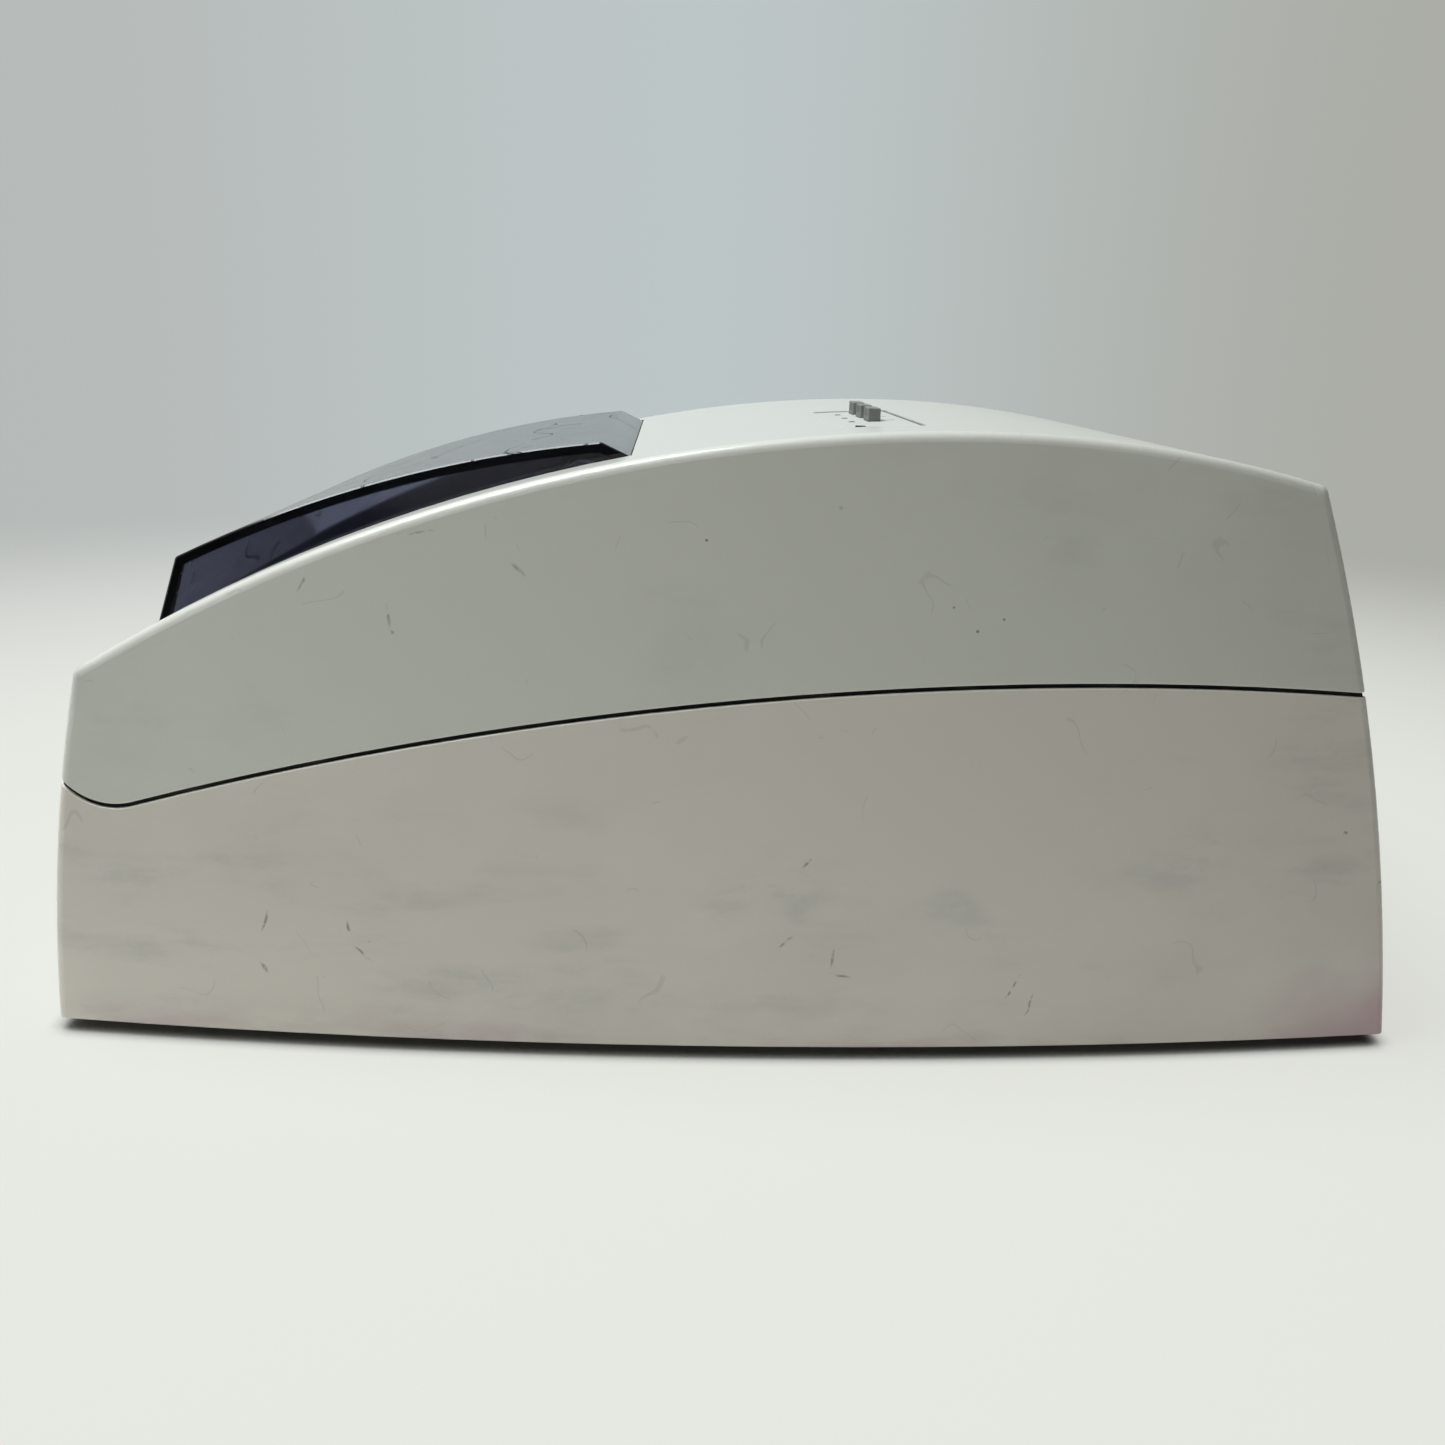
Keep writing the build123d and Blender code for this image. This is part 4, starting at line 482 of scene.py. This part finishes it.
class CYCLER_OT_lid(bpy.types.Operator):
    """Finishes the hood, the cover under it and the heated platen, and winds the pressure springs"""

    bl_idname = "cycler.lid"
    bl_label = "Lid"

    def execute(self, context):
        chosen = context.scene.cycler_lid
        coat(self.hood(chosen.smoke, chosen.clearness), "lid_hood")
        coat(moulded("cover_plastic", tuple(chosen.cover), 0.75, gloss=0.08), "lid_inner_cover")
        coat(moulded("housing_plastic", shade(44, 47, 52), 0.5), "platen_housing", "catch_bosses")
        coat(milled("backing_aluminium", shade(196, 198, 200), 0.34), "platen_backing")
        coat(milled("platen_face", shade(170, 172, 176), 0.3, (0.02, 1, 1)), "heated_platen")
        coat(moulded("heater_mat", shade(150, 62, 34), 0.6, 0.0002), "platen_heater")
        coat(milled("ground_steel", shade(206, 207, 209), 0.18), "platen_guide_pins", "hinge_pins")
        coat(milled("hinge_steel", shade(140, 143, 147), 0.36), "lid_hinge_arms", "hinge_brackets")
        coat(milled("nickel", shade(205, 202, 194), 0.2), "lid_magnets")
        coat(milled("strike_steel", shade(160, 162, 165), 0.3), "strike_posts")
        self.springs(chosen.spring_wire)
        return {"FINISHED"}

    def hood(self, smoke, clearness):
        """Smoked sheet. Where its walls are seen edge-on through the side walls, black is painted in as shade,
        and the front wall's tint is painted darker.
        """
        finish = Finish("smoked_hood")
        side = finish.rise(abs(finish.facing("X")), 0.7, 0.9)
        centre = self.arch_centre()
        radius = (HOOD_FRONT_TOP - Vector(centre[1:])).length
        flat = finish.moved(centre, size=(1000, 1, 1))
        out = finish.node("ShaderNodeVectorMath", {"operation": "LENGTH"}, {0: flat}, "Value")
        crown = 1 - finish.rise(abs(radius - out), HOOD_EDGE, HOOD_EDGE + 0.0005)
        y, z = finish.axis("Y"), finish.axis("Z")
        start = HOOD_FRONT_TOP.x - HOOD_FRONT_TOP.y * HOOD_FRONT_SLOPE
        fore = 1 - finish.rise(y - z * HOOD_FRONT_SLOPE - start, HOOD_EDGE, HOOD_EDGE + 0.0005)
        end = HOOD_REAR_BOTTOM.x + HOOD_REAR_BOTTOM.y * HOOD_REAR_SLOPE
        aft = finish.rise(y + z * HOOD_REAR_SLOPE - end, -0.0072, -0.0061)
        # Painted shade: black bands on the side walls where the arch, front and rear walls are seen edge-on
        # through them.
        painted_edge_black = (crown | fore | aft) * finish.rise(abs(finish.facing("X")), 0.08, 0.2)
        long_lines = hairlines(finish, 30, 0.006, 0.5, (1.6, 1, 1))
        scratch = long_lines | hairlines(finish, 60, 0.008, 0.6, place=(0.5, 0, 0))
        nicks = 1 - finish.rise(finish.cells(140), 0.04, 0.08)
        nicks = nicks * finish.rise(finish.noise(70, 2), 0.58, 0.62)
        film = finish.noise(24, 5, 0.65)
        # Painted shade: the front wall's tint is darkened to stand in for the darker look through the slanted
        # front wall.
        painted_dark_front = finish.rise(-1 * finish.facing("Y"), 0.6, 0.8)
        tone = finish.mix(painted_dark_front, tuple(smoke), toned(smoke, 0.28))
        tone = finish.mix(painted_edge_black, tone, shade(3, 4, 8))
        top_side = 1 - side
        tone = finish.mix((scratch | nicks) * top_side * 0.5, tone, shade(60, 64, 72))
        sheet = {
            "Base_Color": tone,
            "Roughness": 0.06 + (film * 0.12 + scratch * 0.3 + nicks * 0.3) * top_side,
            "Normal": finish.bump((scratch | nicks) * top_side, 0.00015, 1.0),
            "Transmission_Weight": clearness,
            "IOR": 1.49,
        }
        dusty = finish.shader(**sheet, Sheen_Weight=0.4, Sheen_Roughness=0.14, Sheen_Tint=shade(214, 222, 220))
        clean = finish.shader(**sheet)
        return finish.close(finish.node("ShaderNodeMixShader", {}, {0: side, 1: dusty, 2: clean}))

    def arch_centre(self):
        """Centre of the hood's arch, as (x, y, z)."""
        a, b, c = HOOD_FRONT_TOP, HOOD_MIDDLE_TOP, HOOD_REAR_TOP
        aa, bb, cc = (corner.length_squared for corner in (a, b, c))
        d = 2 * (a.x * (b.y - c.y) + b.x * (c.y - a.y) + c.x * (a.y - b.y))
        y = (aa * (b.y - c.y) + bb * (c.y - a.y) + cc * (a.y - b.y)) / d
        z = (aa * (c.x - b.x) + bb * (a.x - c.x) + cc * (b.x - a.x)) / d
        return (0, y, z)

    def springs(self, wire):
        """Four coils, wound from one ring by a screw about their axis."""
        low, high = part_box("platen_springs")
        coil_radius = 0.004
        turns = 3
        travel = next(painted_rear_shadow for painted_rear_shadow in frame["joints"] if painted_rear_shadow["name"] == "platen_float")["range_m"][1]
        left, right = low.x + coil_radius, high.x - coil_radius
        front, rear = low.y + coil_radius, high.y - coil_radius
        material = milled("spring_steel", shade(176, 178, 182), 0.22)
        for index, (x, y) in enumerate(((left, front), (right, front), (left, rear), (right, rear))):
            name = f"platen_spring_{index + 1}"
            coil = ring(name, 8, wire / 2, (coil_radius - wire / 2, 0, wire / 2), (math.pi / 2, 0, 0))
            wind = coil.modifiers.new("wind", "SCREW")
            wind.axis = "Z"
            wind.steps = wind.render_steps = 20
            wind.iterations = turns
            wind.screw_offset = (high.z - low.z - wire) / turns
            bpy.ops.object.modifier_apply(modifier=wind.name)
            face_outward()
            settle(coil, (x, y, low.z))
            smooth(coil)
            coil.data.materials.append(material)
            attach(coil, "lid")
            1 - travel / (high.z - low.z)
            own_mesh(coil)
            if index == 0:
                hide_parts("platen_springs")


class CYCLER_OT_keys(bpy.types.Operator):
    """Finishes the three keys and their field, and prints the marks"""

    bl_idname = "cycler.keys"
    bl_label = "Keys"

    def execute(self, context):
        chosen = context.scene.cycler_keys
        coat(self.ribbed(chosen.key), "key_left", "key_middle", "key_right")
        coat(self.field(chosen.film), "key_frame")
        coat(moulded("lens_black", shade(10, 11, 13), 0.12, 0.0), "status_lens")
        ink = moulded("mark_ink", tuple(chosen.ink), 0.5, 0.0)
        for index, name in enumerate(("key_left", "key_middle", "key_right")):
            low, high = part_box(name)
            x, y, _ = (low + high) / 2
            self.mark(f"mark_front_{index + 1}", x + 0.0035, y - 0.0066, chosen.mark_length, 0.0017, ink)
            self.mark(f"mark_rear_{index + 1}", x - 0.001, y + 0.0055, 0.0006, 0.0034, ink)
        return {"FINISHED"}

    def ribbed(self, colour):
        """Grey plastic with the ribs of the keys' gripping faces."""
        finish = Finish("key_plastic")
        ribs = finish.node(
            "ShaderNodeTexWave", {"wave_type": "BANDS", "bands_direction": "X"},
            {"Vector": finish.spot, "Scale": 420.0, "Distortion": 0.0}, "Fac",
        )
        sides = finish.rise(abs(finish.facing("Y")), 0.6, 0.8)
        cloud = finish.noise(120, 4)
        tone = finish.mix(cloud * 0.5, tuple(colour), toned(colour, 0.82))
        return finish.surface(
            Base_Color=tone, Roughness=0.5 + cloud * 0.1, Normal=finish.bump(ribs * sides, 0.0003, 0.8)
        )

    def field(self, colour):
        """Film that is sunk in the roof, with painted shadow along its rear edge, where the recess's rear wall
        lies in shade.
        """
        finish = Finish("key_film")
        cloud = finish.noise(45, 5)
        worn = finish.rise(cloud, 0.45, 0.7) * 0.3
        tone = finish.mix(worn, tuple(colour), toned(colour, 0.93))
        rear_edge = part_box("key_frame")[1].y
        # Painted shadow: a dark band along the rear edge stands in for the shade on the recess's rear wall.
        painted_rear_shadow = finish.rise(finish.axis("Y"), rear_edge - 0.0009, rear_edge - 0.0007)
        tone = finish.mix(painted_rear_shadow, tone, shade(70, 76, 76))
        grain = finish.bump(finish.noise(2200, 2), 0.00002, 0.4)
        return finish.surface(Base_Color=tone, Roughness=0.5 + cloud * 0.1, Normal=grain)

    def mark(self, name, x, y, length, width, material):
        """A short printed bar that lies on the field."""
        bar = block(name, (length, width, 0.00006), (0, 0, 0))
        bevel(bar, 0.00001, 1)
        slope = surface_slope("key_frame", y)
        height = surface_height("key_frame", y)
        bar.data.transform(Matrix.Translation((x, y, height)) @ Matrix.Rotation(slope, 4, "X"))
        bar.data.materials.append(material)
        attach(bar, "base")


class CYCLER_OT_block(bpy.types.Operator):
    """Finishes the deck, the sample block and what cools it"""

    bl_idname = "cycler.block"
    bl_label = "Block"

    def execute(self, context):
        coat(moulded("deck_plastic", shade(52, 55, 60), 0.5), "sample_deck")
        coat(milled("block_aluminium", shade(208, 210, 212), 0.36, (1, 1, 1), 700), "sample_block")
        coat(moulded("peltier_ceramic", shade(226, 226, 220), 0.55, 0.00003), "peltier_modules")
        coat(moulded("frame_insulation", shade(176, 164, 132), 0.7, 0.0002), "block_frame")
        coat(milled("sink_aluminium", shade(186, 188, 190), 0.38, (1, 1, 0.02)), "heat_sink")
        coat(milled("post_steel", shade(170, 172, 175), 0.3), "block_posts", "deck_posts")
        coat(moulded("fan_plastic", shade(22, 22, 24), 0.46), "block_fan_frame", "block_fan_rotor")
        return {"FINISHED"}


class CYCLER_OT_rear_bay(bpy.types.Operator):
    """Finishes the connection panel, its fan, inlet, switch and ports"""

    bl_idname = "cycler.rear_bay"
    bl_label = "Rear bay"

    def execute(self, context):
        coat(powder_coat("panel_coat", shade(196, 198, 196)), "rear_panel")
        coat(moulded("rear_fan_plastic", shade(24, 24, 26), 0.46), "rear_fan_frame", "rear_fan_rotor")
        coat(milled("guard_chrome", shade(214, 215, 217), 0.14), "fan_guard")
        coat(moulded("inlet_plastic", shade(20, 20, 21), 0.4), "power_inlet", "switch_frame")
        coat(moulded("drawer_plastic", shade(28, 28, 29), 0.45), "fuse_drawer")
        coat(moulded("rocker_plastic", shade(18, 18, 19), 0.28, 0.00002), "power_rocker")
        coat(self.glass_tube(), "fuse")
        coat(milled("port_shell", shade(188, 189, 190), 0.26), "data_ports")
        return {"FINISHED"}

    def glass_tube(self):
        """Fuse: glass between two metal caps."""
        finish = Finish("fuse_tube")
        low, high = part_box("fuse")
        middle = (low + high) / 2
        out = abs(finish.axis("X") - middle.x)
        cap = finish.rise(out, 0.0049, 0.0051)
        tone = finish.mix(cap, shade(206, 214, 214), shade(196, 197, 199))
        return finish.surface(
            Base_Color=tone, Metallic=cap, Roughness=0.08 + cap * 0.2, Alpha=0.45 + cap * 0.55, IOR=1.5
        )


class CYCLER_OT_electronics(bpy.types.Operator):
    """Finishes the boards, the supply and the wiring inside the case"""

    bl_idname = "cycler.electronics"
    bl_label = "Electronics"

    def execute(self, context):
        copper = shade(186, 150, 96)
        coat(circuit("main_board_mask", shade(18, 74, 46), copper), "main_board")
        coat(circuit("small_board_mask", shade(22, 66, 52), copper, 320), "driver_board", "key_board")
        coat(moulded("chip_epoxy", shade(26, 26, 28), 0.55, 0.00005), "board_parts")
        coat(galvanised("supply_zinc", shade(180, 184, 186)), "power_supply")
        coat(milled("standoff_brass", shade(190, 160, 98), 0.3), "board_standoffs")
        coat(moulded("ribbon_jacket", shade(150, 152, 154), 0.6, 0.00005), "key_cable")
        coat(moulded("lead_jacket", shade(26, 26, 27), 0.5, 0.00005), "power_leads")
        return {"FINISHED"}


class CYCLER_OT_stage(bpy.types.Operator):
    """Lays the floor, hangs the lamps and sets the camera"""

    bl_idname = "cycler.stage"
    bl_label = "Stage"

    def execute(self, context):
        chosen = context.scene.cycler_stage
        self.floor(chosen.floor)
        self.surroundings(context.scene, chosen.far)
        self.lamp("key_lamp", (0.05, -0.6, 1.5), 1.0, 28.0, (0.95, 1.0, 1.01))
        fill = self.lamp("fill_lamp", (1.3, -0.2, 0.22), 0.5, 0.56, (1.0, 0.92, 0.82))
        fill.visible_glossy = False
        self.camera(context.scene, chosen.lens)
        context.scene.view_settings.view_transform = "Standard"
        return {"FINISHED"}

    def floor(self, near):
        """A sheet of pale paper that melts into the surroundings away from the cycler. Its glow stands in for
        lit paper; ambient occlusion darkens it into a painted contact shadow under the cycler, and on the
        camera side it is dimmed as painted shade in reflections.
        """
        bpy.ops.object.select_all(action="DESELECT")
        bpy.ops.mesh.primitive_circle_add(vertices=96, radius=6.0, fill_type="NGON", location=(0, 0, 0))
        sheet = bpy.context.object
        sheet.name = "floor"
        finish = Finish("floor_paper")
        away = finish.node("ShaderNodeVectorMath", {"operation": "LENGTH"}, {0: finish.spot}, "Value")
        fade = finish.rise(away, 0.3, 1.25)
        # Painted contact shadow: ambient occlusion darkens the paper's glow right under the cycler.
        close = finish.node("ShaderNodeAmbientOcclusion", {"samples": 8}, {"Distance": 0.007}, "AO")
        paper = finish.node("ShaderNodeBsdfDiffuse", {}, {"Color": tuple(near)})
        glossy = finish.node("ShaderNodeLightPath", output="Is Glossy Ray")
        # Painted shade: the glow is dimmed on the camera side where it shows in reflections.
        dim = 1 - finish.rise(finish.axis("X"), 0.14, 0.4) * glossy * 0.95
        strength = finish.rise(close, 0.45, 0.95) * dim
        glow = finish.node("ShaderNodeEmission", {}, {"Color": tuple(near), "Strength": strength})
        gone = finish.node("ShaderNodeBsdfTransparent")
        seen = self.seen(finish)
        lit = finish.node("ShaderNodeMixShader", {}, {0: seen * 0.84, 1: paper, 2: glow})
        mixed = finish.node("ShaderNodeMixShader", {}, {0: fade * seen, 1: lit, 2: gone})
        finish.node("ShaderNodeOutputMaterial", {}, {"Surface": mixed})
        sheet.data.materials.append(finish.material)

    def seen(self, finish):
        """1 for rays from the camera, and for what shows in or through the object."""
        rays = [
            finish.node("ShaderNodeLightPath", output=name)
            for name in ("Is Camera Ray", "Is Glossy Ray", "Is Transmission Ray")
        ]
        return rays[0] | rays[1] | rays[2]

    def surroundings(self, scene, far):
        """A pale room, palest in the middle, and dim on the operator's right where it is only reflected."""
        scene.world = bpy.data.worlds.new("room")
        finish = Finish("room", scene.world)
        direction = finish.node("ShaderNodeTexCoord", output="Generated")
        along = finish.node("ShaderNodeSeparateXYZ", {}, {"Vector": direction}, "Y")
        across = finish.node("ShaderNodeSeparateXYZ", {}, {"Vector": direction}, "X")
        glossy = finish.node("ShaderNodeLightPath", output="Is Glossy Ray")
        dim = 1 - finish.rise(across, -0.2, 0.7) * glossy * 0.94
        seen = self.seen(finish)
        bright = 1 + (1 - finish.rise(along, -0.75, -0.1)) * glossy * 0.6
        strength = seen * dim * bright + (1 - seen) * 0.07
        rear = finish.mix(finish.rise(along, 0.0, 0.46), tuple(far), shade(171, 173, 166))
        front = finish.mix(1 - finish.rise(along, -0.46, 0.05), rear, shade(182, 186, 184))
        sky = finish.node("ShaderNodeBackground", {}, {"Color": front, "Strength": strength})
        finish.node("ShaderNodeOutputWorld", {}, {"Surface": sky})

    def lamp(self, name, place, size, power, colour):
        data = bpy.data.lights.new(name, "AREA")
        data.shape = "DISK"
        data.size = size
        data.energy = power
        data.color = colour
        lamp = bpy.data.objects.new(name, data)
        bpy.context.scene.collection.objects.link(lamp)
        lamp.location = place
        lamp.rotation_euler = (Vector((0, 0, 0.1)) - Vector(place)).to_track_quat("-Z", "Y").to_euler()
        return lamp

    def camera(self, scene, lens):
        """Stands off the operator's right-hand side, a little above the roof."""
        data = bpy.data.cameras.new("camera")
        data.sensor_width = 36.0
        data.lens = lens
        data.clip_start = 0.01
        camera = bpy.data.objects.new("camera", data)
        scene.collection.objects.link(camera)
        turn = Matrix.Rotation(math.radians(CAMERA_HEADING), 4, "Z")
        tilt = Matrix.Rotation(math.radians(CAMERA_TILT), 4, "X")
        roll = Matrix.Rotation(math.radians(CAMERA_ROLL), 4, "Z")
        camera.matrix_world = Matrix.Translation(CAMERA_PLACE) @ turn @ tilt @ roll
        scene.camera = camera


# ---------------------------------------------------------------- modelling


def ring(name, corners, radius, place, turn):
    """A ring of wire, the start of a coil."""
    bpy.ops.object.select_all(action="DESELECT")
    bpy.ops.mesh.primitive_circle_add(vertices=corners, radius=radius, location=place, rotation=turn)
    return named(name)


def block(name, size, place):
    bpy.ops.object.select_all(action="DESELECT")
    bpy.ops.mesh.primitive_cube_add(size=1, location=place, scale=size)
    return named(name)


def named(name):
    made = bpy.context.object
    made.name = name
    made.data.name = name
    bpy.ops.object.transform_apply(location=True, rotation=True, scale=True)
    return made


def bevel(piece, width, segments):
    trim = piece.modifiers.new("trim", "BEVEL")
    trim.width = width
    trim.segments = segments
    bpy.ops.object.modifier_apply(modifier=trim.name)


def face_outward():
    """Joins the active piece's doubled corners, closes its open ends and turns every face outward."""
    bpy.ops.object.mode_set(mode="EDIT")
    bpy.ops.mesh.select_all(action="SELECT")
    bpy.ops.mesh.remove_doubles(threshold=1e-7)
    bpy.ops.mesh.select_all(action="DESELECT")
    bpy.ops.mesh.select_non_manifold()
    bpy.ops.mesh.edge_face_add()
    bpy.ops.mesh.select_all(action="SELECT")
    bpy.ops.mesh.normals_make_consistent(inside=False)
    bpy.ops.object.mode_set(mode="OBJECT")


def settle(piece, place):
    """Moves the mesh, not the object, to its place."""
    piece.data.transform(Matrix.Translation(place))


def smooth(piece):
    bpy.ops.object.select_all(action="DESELECT")
    piece.select_set(True)
    bpy.context.view_layer.objects.active = piece
    bpy.ops.object.shade_smooth_by_angle(angle=math.radians(40))


def surface_height(node, y):
    """Top of a CAD node at y, from its own mesh."""
    return max(
        high_at(edge_a, edge_b, y)
        for edge_a, edge_b in mesh_edges(node)
        if min(edge_a.y, edge_b.y) <= y <= max(edge_a.y, edge_b.y) and abs(edge_a.y - edge_b.y) > 1e-9
    )


def mesh_edges(node):
    mesh = frame["nodes"][node].data
    corners = mesh.vertices
    return [(corners[a].co, corners[b].co) for a, b in (edge.vertices for edge in mesh.edges)]


def high_at(a, b, y):
    share = (y - a.y) / (b.y - a.y)
    return a.z + (b.z - a.z) * share


def surface_slope(node, y):
    step = 0.001
    return math.atan2(surface_height(node, y + step) - surface_height(node, y - step), 2 * step)


# ---------------------------------------------------------------- add-on


class CYCLER_PT_panel(bpy.types.Panel):
    """The cycler's pieces, in the order in which they are made"""

    bl_idname = "CYCLER_PT_panel"
    bl_label = "Cycler"
    bl_space_type = "VIEW_3D"
    bl_region_type = "UI"
    bl_category = "Cycler"

    def draw(self, context):
        for group in PROPERTIES:
            box = self.layout.box()
            settings = getattr(context.scene, group)
            for name in type(settings).__annotations__:
                box.prop(settings, name)
        for operator in OPERATORS:
            self.layout.operator(operator.bl_idname)


OPERATORS = (
    CYCLER_OT_case,
    CYCLER_OT_lid,
    CYCLER_OT_keys,
    CYCLER_OT_block,
    CYCLER_OT_rear_bay,
    CYCLER_OT_electronics,
    CYCLER_OT_stage,
)
PROPERTIES = {
    "cycler_case": CyclerCaseSettings,
    "cycler_lid": CyclerLidSettings,
    "cycler_keys": CyclerKeySettings,
    "cycler_stage": CyclerStageSettings,
}


def register():
    for item in (*PROPERTIES.values(), *OPERATORS, CYCLER_PT_panel):
        bpy.utils.register_class(item)
    for name, group in PROPERTIES.items():
        setattr(bpy.types.Scene, name, bpy.props.PointerProperty(type=group))


def unregister():
    for name in PROPERTIES:
        delattr(bpy.types.Scene, name)
    for item in reversed((*PROPERTIES.values(), *OPERATORS, CYCLER_PT_panel)):
        bpy.utils.unregister_class(item)


def main():
    register()
    bpy.ops.cycler.case()
    bpy.ops.cycler.lid()
    bpy.ops.cycler.keys()
    bpy.ops.cycler.block()
    bpy.ops.cycler.rear_bay()
    bpy.ops.cycler.electronics()
    bpy.ops.cycler.stage()


if __name__ == "__main__":
    main()
